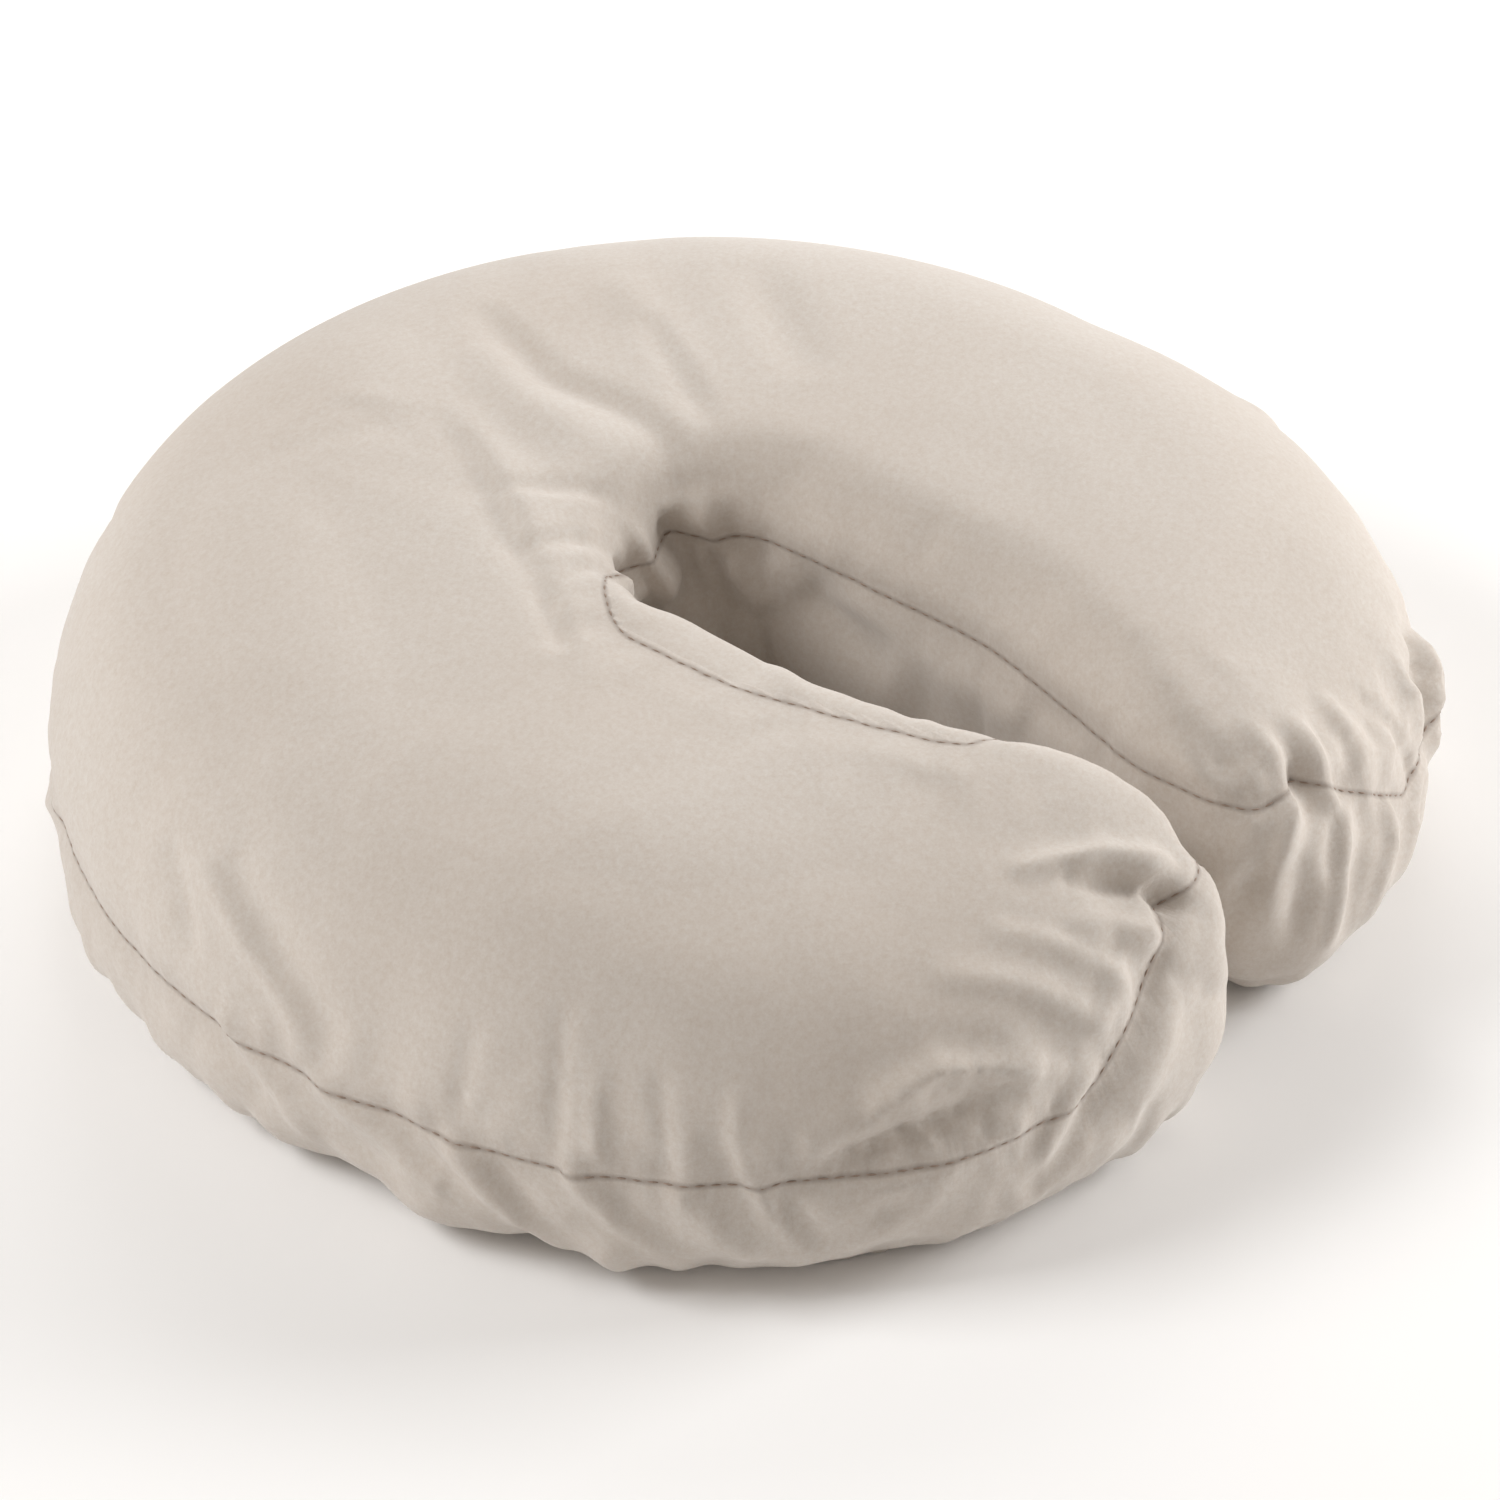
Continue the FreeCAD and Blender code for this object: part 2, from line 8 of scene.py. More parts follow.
import bmesh
import bpy
import numpy as np
from mathutils import Matrix, Vector
from mathutils.kdtree import KDTree


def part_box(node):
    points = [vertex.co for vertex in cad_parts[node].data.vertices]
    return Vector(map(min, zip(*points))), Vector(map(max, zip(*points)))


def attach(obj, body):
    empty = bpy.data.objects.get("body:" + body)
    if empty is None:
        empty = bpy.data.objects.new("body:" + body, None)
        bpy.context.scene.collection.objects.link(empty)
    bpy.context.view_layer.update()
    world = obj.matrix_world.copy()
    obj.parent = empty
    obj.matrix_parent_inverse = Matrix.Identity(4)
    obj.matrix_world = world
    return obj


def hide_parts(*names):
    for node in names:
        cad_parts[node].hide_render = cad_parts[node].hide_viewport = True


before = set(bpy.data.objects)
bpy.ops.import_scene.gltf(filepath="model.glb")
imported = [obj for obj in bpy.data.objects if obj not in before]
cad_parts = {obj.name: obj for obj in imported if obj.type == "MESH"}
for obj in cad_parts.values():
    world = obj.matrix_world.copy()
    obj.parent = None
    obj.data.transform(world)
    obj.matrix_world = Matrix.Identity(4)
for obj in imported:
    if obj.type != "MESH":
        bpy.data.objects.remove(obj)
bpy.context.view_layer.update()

log = logging.getLogger("face_cradle_cushion")
MM = 0.001
BODY = "cushion"
DOWN = (0.0, 0.0, -1.0)


# ---- meshes ----------------------------------------------------------------------------------
def only(obj: bpy.types.Object) -> None:
    """Deselect everything, then select one object and make it active."""
    bpy.ops.object.select_all(action="DESELECT")
    obj.select_set(True)
    bpy.context.view_layer.objects.active = obj


def apply(obj: bpy.types.Object, kind: str, **settings: object) -> None:
    """Add a modifier with these settings and apply it."""
    only(obj)
    modifier = obj.modifiers.new(kind.title(), kind)
    for name, value in settings.items():
        setattr(modifier, name, value)
    bpy.ops.object.modifier_apply(modifier=modifier.name)


def remesh(obj: bpy.types.Object, voxel: float, smooth_rounds: int = 0) -> None:
    """Give a closed mesh even faces, then smooth it a number of rounds."""
    apply(obj, "REMESH", mode="VOXEL", voxel_size=voxel, adaptivity=0.0)
    if smooth_rounds:
        apply(obj, "SMOOTH", factor=0.5, iterations=smooth_rounds)


def add_object(name: str, data: bpy.types.ID) -> bpy.types.Object:
    """Put a new object with this data into the scene."""
    obj = bpy.data.objects.new(name, data)
    bpy.context.scene.collection.objects.link(obj)
    return obj


def settle_place(obj: bpy.types.Object) -> None:
    """Move an object's place into its mesh."""
    only(obj)
    bpy.ops.object.transform_apply(location=True, rotation=True, scale=True)


def mesh_object(name: str, points: np.ndarray, faces: Iterable) -> bpy.types.Object:
    """Make an object from points and faces, with its normals outward."""
    mesh = bpy.data.meshes.new(name)
    mesh.from_pydata([tuple(p) for p in points], [], [tuple(f) for f in faces])
    obj = add_object(name, mesh)
    turn_outward(obj)
    return obj


def turn_outward(obj: bpy.types.Object) -> None:
    """Recalculate a closed mesh's normals so that they point outward."""
    only(obj)
    bpy.ops.object.mode_set(mode="EDIT")
    bpy.ops.mesh.select_all(action="SELECT")
    bpy.ops.mesh.normals_make_consistent(inside=False)
    bpy.ops.object.mode_set(mode="OBJECT")


def copy_node(name: str, new_name: str) -> bpy.types.Object:
    """Copy a CAD node's mesh into a new object and merge its doubles."""
    obj = add_object(new_name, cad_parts[name].data.copy())
    obj.data.materials.clear()
    only(obj)
    bpy.ops.object.mode_set(mode="EDIT")
    bpy.ops.mesh.select_all(action="SELECT")
    bpy.ops.mesh.remove_doubles(threshold=1e-6)
    bpy.ops.object.mode_set(mode="OBJECT")
    return obj


def read_points(obj: bpy.types.Object) -> np.ndarray:
    """Vertex positions of a mesh object, one row each."""
    points = np.zeros(len(obj.data.vertices) * 3)
    obj.data.vertices.foreach_get("co", points)
    return points.reshape(-1, 3)


def write_points(obj: bpy.types.Object, points: np.ndarray) -> None:
    """Put vertex positions back into a mesh object."""
    obj.data.vertices.foreach_set("co", points.ravel())
    obj.data.update()


def read_normals(obj: bpy.types.Object) -> np.ndarray:
    """Vertex normals of a mesh object, one row each."""
    normals = np.zeros(len(obj.data.vertices) * 3)
    obj.data.vertices.foreach_get("normal", normals)
    return normals.reshape(-1, 3)


def read_edges(obj: bpy.types.Object) -> np.ndarray:
    """Vertex pairs of a mesh object's edges."""
    edges = np.zeros(len(obj.data.edges) * 2, dtype=np.int64)
    obj.data.edges.foreach_get("vertices", edges)
    return edges.reshape(-1, 2)


def spread(values: np.ndarray, edges: np.ndarray, rounds: int) -> np.ndarray:
    """Average values over neighbouring vertices a number of times."""
    ends = np.concatenate([edges[:, 0], edges[:, 1]])
    others = np.concatenate([edges[:, 1], edges[:, 0]])
    count = np.maximum(np.bincount(ends, minlength=len(values)), 1)
    for _ in range(rounds):
        values = np.stack([np.bincount(ends, weights=column[others], minlength=len(values)) / count
                           for column in values.T], axis=1)
    return values


def store(obj: bpy.types.Object, name: str, values: np.ndarray) -> None:
    """Keep one number per vertex as an attribute of the mesh."""
    attribute = obj.data.attributes.get(name) or obj.data.attributes.new(name, "FLOAT", "POINT")
    attribute.data.foreach_set("value", values.astype(np.float32))


def read_stored(obj: bpy.types.Object, name: str) -> np.ndarray:
    """One number per vertex, read back from an attribute."""
    values = np.zeros(len(obj.data.vertices), dtype=np.float32)
    obj.data.attributes[name].data.foreach_get("value", values)
    return values


def lengths_along(path: np.ndarray) -> np.ndarray:
    """Length from a path's start to each of its points."""
    return np.concatenate([[0.0], np.cumsum(np.linalg.norm(np.diff(path, axis=0), axis=1))])


def press_to_floor(z: np.ndarray, floor: float, reach: float) -> np.ndarray:
    """Heights rescaled below a reach, so that the lowest one lies on a floor."""
    low = z.min()
    ratio = (reach - floor) / (reach - low)
    return np.where(z < reach, floor + (z - low) * ratio, z)


def smooth_step(x: np.ndarray, low: float, high: float) -> np.ndarray:
    """Ease from 0 at low to 1 at high."""
    share = np.clip((x - low) / (high - low), 0.0, 1.0)
    return share * share * (3.0 - 2.0 * share)


def shade_smooth(obj: bpy.types.Object, angle: float = 40.0) -> None:
    """Shade a mesh smooth except across edges sharper than an angle in degrees."""
    only(obj)
    bpy.ops.object.shade_smooth_by_angle(angle=math.radians(angle))


# ---- the cushion's outline -------------------------------------------------------------------
@dataclass
class Outline:
    """The crescent in plan, its loop of stations, and the height of the cover's seam."""

    half_width: float
    half_length: float
    slot_half: float = 0.025
    mouth_half: float = 0.008
    slot_end: float = 0.022
    neck_y: float = -0.1108
    shoulder_y: float = -0.0608
    tip_round: float = 0.125
    flare: float = 0.024
    top_tilt: float = math.tan(math.radians(3.95))
    top_at_crown: float = 0.098
    top_round: float = 0.062
    outer_seam: float = 0.034
    slot_seam_drop: float = 0.022
    seam_run: float = 0.043
    seam_land: float = 0.004
    band_split: float = 0.030
    band_split_tip: float = 0.018
    strayed_land: float = 0.018
    strayed_drop: float = -0.005
    least_slope: float = 0.25
    step: float = 0.001
    loop: np.ndarray = field(init=False)
    stations: np.ndarray = field(init=False)
    tree: KDTree = field(init=False)

    def __post_init__(self) -> None:
        """Lay the loop's points and index them."""
        self.loop = self._loop()
        self.stations = lengths_along(self.loop)
        self.tree = KDTree(len(self.loop))
        for i, (x, y) in enumerate(self.loop):
            self.tree.insert((x, y, 0.0), i)
        self.tree.balance()

    @property
    def length(self) -> float:
        """Length of the loop."""
        return float(self.stations[-1])

    @property
    def crown_y(self) -> float:
        """Centre of the crown's arc."""
        return self.half_length - self.half_width

    @property
    def slot_arc_y(self) -> float:
        """Centre of the slot's closed end."""
        return self.slot_end - self.slot_half

    def arc(self, cx: float, cy: float, radius: float, start: float, end: float) -> list[tuple]:
        """Points along an arc, angles in degrees."""
        count = max(3, int(radius * math.radians(abs(end - start)) / self.step))
        turns = np.radians(np.linspace(start, end, count))
        return [(cx + radius * math.cos(t), cy + radius * math.sin(t)) for t in turns]

    def even(self, corners: list[tuple]) -> np.ndarray:
        """Even points along a path."""
        path = np.array(corners)
        along = lengths_along(path)
        places = np.arange(0.0, along[-1], self.step)
        return np.stack([np.interp(places, along, path[:, k]) for k in (0, 1)], axis=1)

    def _loop(self) -> np.ndarray:
        """Loop from the crown round the left arm, through the slot and round the right arm."""
        tip_x = self.half_width - self.tip_round
        tip_y = self.tip_round - self.half_length
        left = self.arc(0.0, self.crown_y, self.half_width, 90, 180)
        left += self.arc(-tip_x, tip_y, self.tip_round, 180, 270)
        flare_x, flare_y = -self.mouth_half - self.flare, self.flare - self.half_length
        left += self.arc(flare_x, flare_y, self.flare, 270, 360)
        left += [(-self.mouth_half, self.neck_y), (-self.slot_half, self.shoulder_y)]
        left += self.arc(0.0, self.slot_arc_y, self.slot_half, 180, 90)
        return self.even(left + [(-x, y) for x, y in reversed(left)][1:])

    def ring(self, outer_inset: float, slot_inset: float, tip: float = 0.070,
             corner: float = 0.008) -> np.ndarray:
        """Even points of the crescent ring under the cushion, clockwise from the crown.

        Args:
            outer_inset: How far inside the outer edge it runs.
            slot_inset: How far from the slot it runs.
            tip: Radius of its turn at each arm's outer corner.
            corner: Radius of its turn at each arm's slot corner.

        Returns:
            Points in plan, one row each.
        """
        radius = self.half_width - outer_inset
        front = -self.half_length + outer_inset
        near = self.slot_half + slot_inset
        right = self.arc(0.0, self.crown_y, radius, 90, 0)
        right += self.arc(radius - tip, front + tip, tip, 0, -90)
        right += self.arc(near + corner, front + corner, corner, 270, 180)
        right += self.arc(0.0, self.slot_arc_y, near, 0, 90)
        return self.even(right + [(-x, y) for x, y in reversed(right)][1:])

    def station_of(self, points: np.ndarray) -> np.ndarray:
        """Station of the loop nearest to each point."""
        nearest = np.array([self.tree.find((x, y, 0.0))[1] for x, y, _ in points])
        ahead = np.gradient(self.loop, axis=0)
        ahead /= np.linalg.norm(ahead, axis=1)[:, None]
        past = ((points[:, :2] - self.loop[nearest]) * ahead[nearest]).sum(axis=1)
        return self.stations[nearest] + np.clip(past, -self.step, self.step)

    def top_height(self, y: np.ndarray) -> np.ndarray:
        """Height of the tilted top over a place y."""
        return self.top_at_crown - self.top_tilt * (self.half_length - self.top_round - y)

    def seam_height(self, x: np.ndarray, y: np.ndarray) -> np.ndarray:
        """Height of the surface that parts the top panel from the bands.

        The cover sits a little askew: on the left arm its slot seam has strayed up onto the top.
        """
        past = np.maximum(y - self.slot_arc_y, 0.0)
        left = smooth_step(-x, 0.002, 0.024)
        stray = left * smooth_step(y, -0.110, -0.030) * (1.0 - smooth_step(y, -0.012, 0.014))
        land = self.seam_land + self.strayed_land * stray
        near = self.slot_half + land
        far = self.slot_half + self.seam_run
        share = np.clip((np.hypot(x, past) - near) / (far - near), 0.0, 1.0)
        askew = left * smooth_step(y, -0.115, -0.085) * (1.0 - smooth_step(y, 0.002, 0.020))
        high = self.top_height(y) - self.slot_seam_drop * (1.0 - askew) - self.strayed_drop * askew
        return high + (self.outer_seam - high) * share

    def seam_gap(self, points: np.ndarray, normals: np.ndarray) -> np.ndarray:
        """Distance along the surface from the seam, positive on the top panel."""
        probe = 0.0005
        x, y, z = points.T
        level = z - self.seam_height(x, y)
        slope_x = -(self.seam_height(x + probe, y) - self.seam_height(x - probe, y)) / (2 * probe)
        slope_y = -(self.seam_height(x, y + probe) - self.seam_height(x, y - probe)) / (2 * probe)
        slope = np.stack([slope_x, slope_y, np.ones(len(x))], axis=1)
        slope -= normals * (slope * normals).sum(axis=1)[:, None]
        return level / np.maximum(np.linalg.norm(slope, axis=1), self.least_slope)

    def inner_side(self, points: np.ndarray) -> np.ndarray:
        """How far inside the line that parts the slot's band from the outer band."""
        wide = self.slot_half + self.band_split
        tip_y = -self.half_length - self.band_split_tip
        share = np.clip((points[:, 1] - tip_y) / (self.neck_y - tip_y), 0.0, 1.0)
        narrow = self.mouth_half + self.band_split_tip
        half = narrow + (wide - self.mouth_half - self.band_split_tip) * share
        return np.minimum(half - np.abs(points[:, 0]), self.slot_end + self.band_split - points[:, 1])


COVER_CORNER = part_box("cover_outer_band")[1]
OUTLINE = Outline(half_width=COVER_CORNER.x, half_length=COVER_CORNER.y)


def store_seams(obj: bpy.types.Object, points: np.ndarray, normals: np.ndarray) -> tuple:
    """Keep each vertex's place about the seams as attributes of the mesh.

    Args:
        obj: The mesh object.
        points: Its vertex positions.
        normals: Its vertex normals.

    Returns:
        The gap from the seam, the station along the loop, and how far inside the slot's band.
    """
    gap = OUTLINE.seam_gap(points, normals)
    station = OUTLINE.station_of(points)
    inner = OUTLINE.inner_side(points)
    store(obj, "seam_gap", gap)
    store(obj, "seam_run", station)
    store(obj, "inner_side", inner)
    return gap, station, inner


# ---- folds and gathers -----------------------------------------------------------------------
class Steep(Enum):
    """Which side of a fold is the steep one, seen along its path from outside."""

    NEITHER = 0
    LEFT = 1
    RIGHT = 2


class Taper(Enum):
    """Which ends of a fold die away."""

    BOTH = 0
    START = 1
    END = 2


class Side(Enum):
    """Which side of the seam a gather lies on."""

    TOP = 1
    BAND = -1


FOLD_GAIN = 1.25
FOLD_LEAST_WIDTH = 2.2
FOLD_LEAST_STEEP = 1.5
FOLD_MARGIN = 12.0
DEPTH_WEIGHT = 0.3
GATHER_LEAST_WIDTH = 1.9
GATHER_WIDTHS = (0.2, 0.38)
GATHER_REACHES = (0.45, 1.3)
GATHER_LEANS = (-0.3, 0.3)
GATHER_HEIGHTS = (0.45, 1.15)
GATHER_STEPS = (0.6, 1.5)
CREASE_SHARE = -0.8


@dataclass(frozen=True)
class Fold:
    """One fold of cloth: its path, height (negative for a crease) and width in millimetres."""

    path: tuple
    height: float
    width: float
    steep: Steep = Steep.NEITHER
    taper: Taper = Taper.BOTH
    sharpness: float = 0.5

    def press(self, points: np.ndarray, normals: np.ndarray) -> None:
        """Raise or sink the fold in place.

        Args:
            points: Vertex positions, which are moved.
            normals: Vertex normals.
        """
        stops = np.array(self.path) * MM
        width = max(self.width, FOLD_LEAST_WIDTH) * MM
        runs = np.linalg.norm(np.diff(stops, axis=0), axis=1)
        starts = lengths_along(stops)
        reach = 3.0 * width + FOLD_MARGIN * MM
        near = (points > stops.min(axis=0) - reach) & (points < stops.max(axis=0) + reach)
        inside = np.nonzero(near.all(axis=1))[0]
        if not len(inside):
            log.warning("a fold from %s touches nothing", self.path[0])
            return
        p, n = points[inside], normals[inside]
        best = np.full(len(inside), 1e9)
        side = np.zeros(len(inside))
        along = np.zeros(len(inside))
        for i, run in enumerate(runs):
            unit = (stops[i + 1] - stops[i]) / run
            far = (p - stops[i]) @ unit
            offset = p - stops[i] - np.clip(far, 0.0, run)[:, None] * unit
            flat = offset - n * (offset * n).sum(axis=1)[:, None]
            lateral = np.cross(n, unit)
            lateral /= np.linalg.norm(lateral, axis=1)[:, None] + 1e-9
            distance = np.linalg.norm(flat, axis=1) + DEPTH_WEIGHT * np.abs((offset * n).sum(axis=1))
            closer = distance < best
            signed = np.sign((flat * lateral).sum(axis=1)) * np.linalg.norm(flat, axis=1)
            best = np.where(closer, distance, best)
            side = np.where(closer, signed, side)
            along = np.where(closer, starts[i] + np.clip(far, 0.0, run), along)
        share = np.clip(along / starts[-1], 0.0, 1.0)
        if self.taper is Taper.START:
            share = share / 2
        if self.taper is Taper.END:
            share = share / 2 + 0.5
        fade = np.sqrt(np.clip(np.sin(np.pi * share), 0.0, 1.0))
        steep = max(width * self.sharpness, FOLD_LEAST_STEEP * MM)
        left = steep if self.steep is Steep.LEFT else width
        right = steep if self.steep is Steep.RIGHT else width
        profile = np.exp(-(side / np.where(side > 0, left, right)) ** 2) * fade
        points[inside] += n * (profile * self.height * FOLD_GAIN * MM)[:, None]


@dataclass(frozen=True)
class GatherZone:
    """A stretch of seam where cloth is gathered, in millimetres along the outline's loop."""

    side: Side
    start: float
    end: float
    spacing: float
    height: float
    reach: float
    lean: float = 0.0
    creased: float = 0.35

    def lift(self, station: np.ndarray, gap: np.ndarray, rng: random.Random) -> np.ndarray:
        """Height of the zone's puckers at each vertex.

        Args:
            station: Place along the loop, in metres.
            gap: Distance from the seam, positive on the top panel.
            rng: Seeded source of the puckers' sizes.

        Returns:
            Height in metres.
        """
        result = np.zeros(len(station))
        off = gap * self.side.value
        place = self.start * MM
        while place < self.end * MM:
            width = max(self.spacing * rng.uniform(*GATHER_WIDTHS), GATHER_LEAST_WIDTH) * MM
            reach = self.reach * MM * rng.uniform(*GATHER_REACHES)
            lean = self.lean + rng.uniform(*GATHER_LEANS)
            height = self.height * MM * rng.uniform(*GATHER_HEIGHTS)
            if rng.random() < self.creased:
                height *= CREASE_SHARE
            beside = np.abs(station - place) < 4 * width + 2.5 * reach
            near = np.nonzero(beside & (off > -0.004))[0]
            out = np.maximum(off[near], 0.0)
            across = (station[near] - place - lean * out) / (width * (1.0 + 0.7 * out / reach))
            along = np.exp(-(out / reach) ** 2) * smooth_step(off[near], -0.0005, 0.003)
            result[near] += height * np.exp(-across ** 2) * along
            place += self.spacing * MM * rng.uniform(*GATHER_STEPS)
        return result


@dataclass(frozen=True)
class Ripple:
    """A seeded, closed wave along the loop: how many waves, and which draw."""

    fewest: int
    most: int
    seed: int
    terms: int = 7

    def at(self, station: np.ndarray) -> np.ndarray:
        """Value from about -1 to 1 at each station."""
        rng = random.Random(self.seed)
        total = np.zeros(len(station))
        for _ in range(self.terms):
            waves = rng.randint(self.fewest, self.most)
            total += np.sin(2 * math.pi * waves * station / OUTLINE.length + rng.uniform(0, 2 * math.pi))
        return total / math.sqrt(self.terms)


# ---- the soft form ---------------------------------------------------------------------------
@dataclass
class CushionForm:
    """The padded form under the cloth: both foams merged into one even mesh and swollen."""

    voxel: float = 0.0034
    grow: float = 0.0032
    floor: float = 0.0006
    settle: float = 0.030
    overlap: float = 0.004

    def build(self) -> bpy.types.Object:
        """Make the form as one closed, evenly meshed object."""
        form = copy_node("comfort_foam", "cushion_form")
        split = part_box("comfort_foam")[0].z
        points = read_points(form)
        points[points[:, 2] < split + MM / 2, 2] -= self.overlap
        write_points(form, points)
        lower = copy_node("support_foam", "cushion_form_lower")
        only(form)
        lower.select_set(True)
        bpy.ops.object.join()
        remesh(form, self.voxel, smooth_rounds=4)
        points = read_points(form) + read_normals(form) * self.grow
        points[:, 2] = press_to_floor(points[:, 2], self.floor, self.settle)
        write_points(form, points)
        log.info("cushion form: %d points", len(points))
        return form


@dataclass
class ClothSettings:
    """How the cover's cloth swells, and how far its points may move."""

    frames: int = 20
    pressure: float = 4.0
    slack: float = -0.06
    stiffness: float = 15.0
    bending: float = 0.2
    quality: int = 5
    calm_rounds: int = 14
    swell: float = 0.2
    swell_cap: float = 0.004
    wrinkle_cap: float = 0.005
    mass: float = 0.3
    seam_hold: float = 0.004
    held_least: float = 0.02

    def swell_form(self, form: bpy.types.Object) -> None:
        """Swell the form as cloth held at its seam and underneath, then keep a share of each move."""
        before = read_points(form)
        gap = OUTLINE.seam_gap(before, read_normals(form))
        held = np.exp(-(gap / self.seam_hold) ** 2)
        held = np.maximum(held, 1.0 - smooth_step(before[:, 2], 0.002, 0.008))
        group = form.vertex_groups.new(name="held")
        for i in np.nonzero(held > self.held_least)[0]:
            group.add([int(i)], float(held[i]), "REPLACE")
        only(form)
        modifier = form.modifiers.new("Cloth", "CLOTH")
        cloth = modifier.settings
        cloth.quality = self.quality
        cloth.mass = self.mass
        cloth.use_pressure = True
        cloth.uniform_pressure_force = self.pressure
        cloth.vertex_group_mass = "held"
        cloth.tension_stiffness = self.stiffness
        cloth.compression_stiffness = self.stiffness
        cloth.bending_stiffness = self.bending
        cloth.shrink_min = self.slack
        cloth.effector_weights.gravity = 0.0
        modifier.collision_settings.use_collision = False
        modifier.point_cache.frame_start = 1
        modifier.point_cache.frame_end = self.frames
        for number in range(1, self.frames + 1):
            bpy.context.scene.frame_set(number)
        bpy.ops.object.modifier_apply(modifier=modifier.name)
        bpy.context.scene.frame_set(1)
        shift = read_points(form) - before
        calm = spread(shift, read_edges(form), self.calm_rounds)
        fine = self._capped(shift - calm, self.wrinkle_cap)
        calm = self._capped(calm * self.swell, self.swell_cap)
        share = self._wrinkle_share(before, gap)
        write_points(form, before + calm + fine * share[:, None])
        most = [np.linalg.norm(move, axis=1).max() / MM for move in (calm, fine * share[:, None])]
        log.info("cloth swelled by %.1f mm, wrinkled by %.1f mm", *most)

    def _capped(self, moves: np.ndarray, cap: float) -> np.ndarray:
        """Shorten each move that is longer than a cap."""
        size = np.linalg.norm(moves, axis=1)
        return moves * np.minimum(1.0, cap / np.maximum(size, 1e-9))[:, None]

    def _wrinkle_share(self, points: np.ndarray, gap: np.ndarray) -> np.ndarray:
        """How much of the cloth's fine wrinkling stays: most at the tips, bands and slot end."""
        x, y, z = points.T
        tip = smooth_step(-y, 0.080, 0.135)
        near_seam = np.exp(-(gap / 0.020) ** 2)
        top = 0.10 + 0.35 * near_seam + 0.55 * tip * np.exp(-(gap / 0.030) ** 2)
        crown_end = np.exp(-((x / 0.030) ** 2 + ((y - 0.020) / 0.020) ** 2))
        band = 0.45 + 0.35 * tip + 0.6 * crown_end
        return np.clip(np.where(gap > 0, top, band), 0.0, 1.0)


TOP_GATHERS = (
    GatherZone(Side.TOP, 0, 190, 9, 0.4, 9),
    GatherZone(Side.TOP, 190, 330, 6, 0.8, 14, creased=0.5),
    GatherZone(Side.TOP, 330, 410, 8, 1.3, 15, lean=-0.3, creased=0.5),
    GatherZone(Side.TOP, 405, 440, 8, 1.2, 13, lean=-0.5, creased=0.5),
    GatherZone(Side.TOP, 440, 488, 6.5, 2.0, 15, lean=-0.5, creased=0.5),
    GatherZone(Side.TOP, 488, 505, 8, 1.0, 12, lean=-0.4),
    GatherZone(Side.TOP, 520, 650, 10, 0.2, 8),
    GatherZone(Side.TOP, 650, 740, 9, 0.4, 10),
    GatherZone(Side.TOP, 740, 890, 12, 0.2, 8),
    GatherZone(Side.TOP, 890, 985, 13, 1.0, 16, creased=0.5),
    GatherZone(Side.TOP, 985, 1190, 7, 0.8, 14, creased=0.5),
    GatherZone(Side.TOP, 1190, 1388, 9, 0.4, 10),
)
BAND_GATHERS = (
    GatherZone(Side.BAND, 0, 190, 18, 0.7, 24, lean=0.8),
    GatherZone(Side.BAND, 190, 400, 24, 1.3, 26, lean=1.1, creased=0.45),
    GatherZone(Side.BAND, 400, 500, 15, 0.5, 24, lean=0.5),
    GatherZone(Side.BAND, 520, 655, 20, 0.4, 24),
    GatherZone(Side.BAND, 655, 735, 12, 1.4, 22),
    GatherZone(Side.BAND, 735, 890, 22, 0.5, 20),
    GatherZone(Side.BAND, 890, 990, 19, 1.3, 36, lean=0.1),
    GatherZone(Side.BAND, 990, 1190, 14, 1.0, 26, lean=-0.9, creased=0.45),
    GatherZone(Side.BAND, 1190, 1388, 18, 0.7, 24, lean=-0.7),
)
NEAR_TIP_FOLDS = (
    Fold(((-12, -136, 62), (-18, -148, 44), (-22, -152, 16)), 3.2, 15.0),
    Fold(((-112, -121, 47), (-98, -128, 53), (-86, -138, 50), (-77, -143, 46)), 3.4, 3.6, Steep.RIGHT),
    Fold(((-124, -115, 37), (-106, -128, 41), (-88, -138, 44)), -4.2, 3.6, Steep.RIGHT),
    Fold(((-126, -114, 29), (-106, -131, 32), (-82, -143, 38)), 3.0, 5.0, Steep.LEFT),
    Fold(((-88, -120, 68), (-74, -132, 62), (-62, -145, 51)), 2.0, 4.0, Steep.RIGHT, Taper.START),
    Fold(((-70, -122, 72), (-60, -133, 66), (-50, -145, 54)), 1.8, 3.6, Steep.LEFT, Taper.START),
    Fold(((-47, -128, 75), (-36, -136, 69), (-26, -142, 61)), -4.2, 3.2, Steep.LEFT, Taper.START),
    Fold(((-56, -120, 79), (-38, -130, 75), (-24, -139, 68), (-19, -145, 58)), 2.8, 3.0, Steep.RIGHT),
    Fold(((-56, -132, 69), (-44, -139, 64), (-34, -145, 57)), 2.0, 4.0, Steep.LEFT, Taper.START),
    Fold(((-66, -147, 44), (-74, -147, 34), (-86, -142, 22)), 1.8, 2.8, Steep.RIGHT),
    Fold(((-62, -149, 38), (-72, -149, 28), (-84, -144, 16)), -1.4, 2.8),
    Fold(((-100, -135, 28), (-112, -128, 20), (-122, -120, 12)), 1.6, 3.0, Steep.LEFT),
    Fold(((-40, -151, 42), (-52, -152, 30), (-66, -149, 20)), 0.9, 4.0),
)
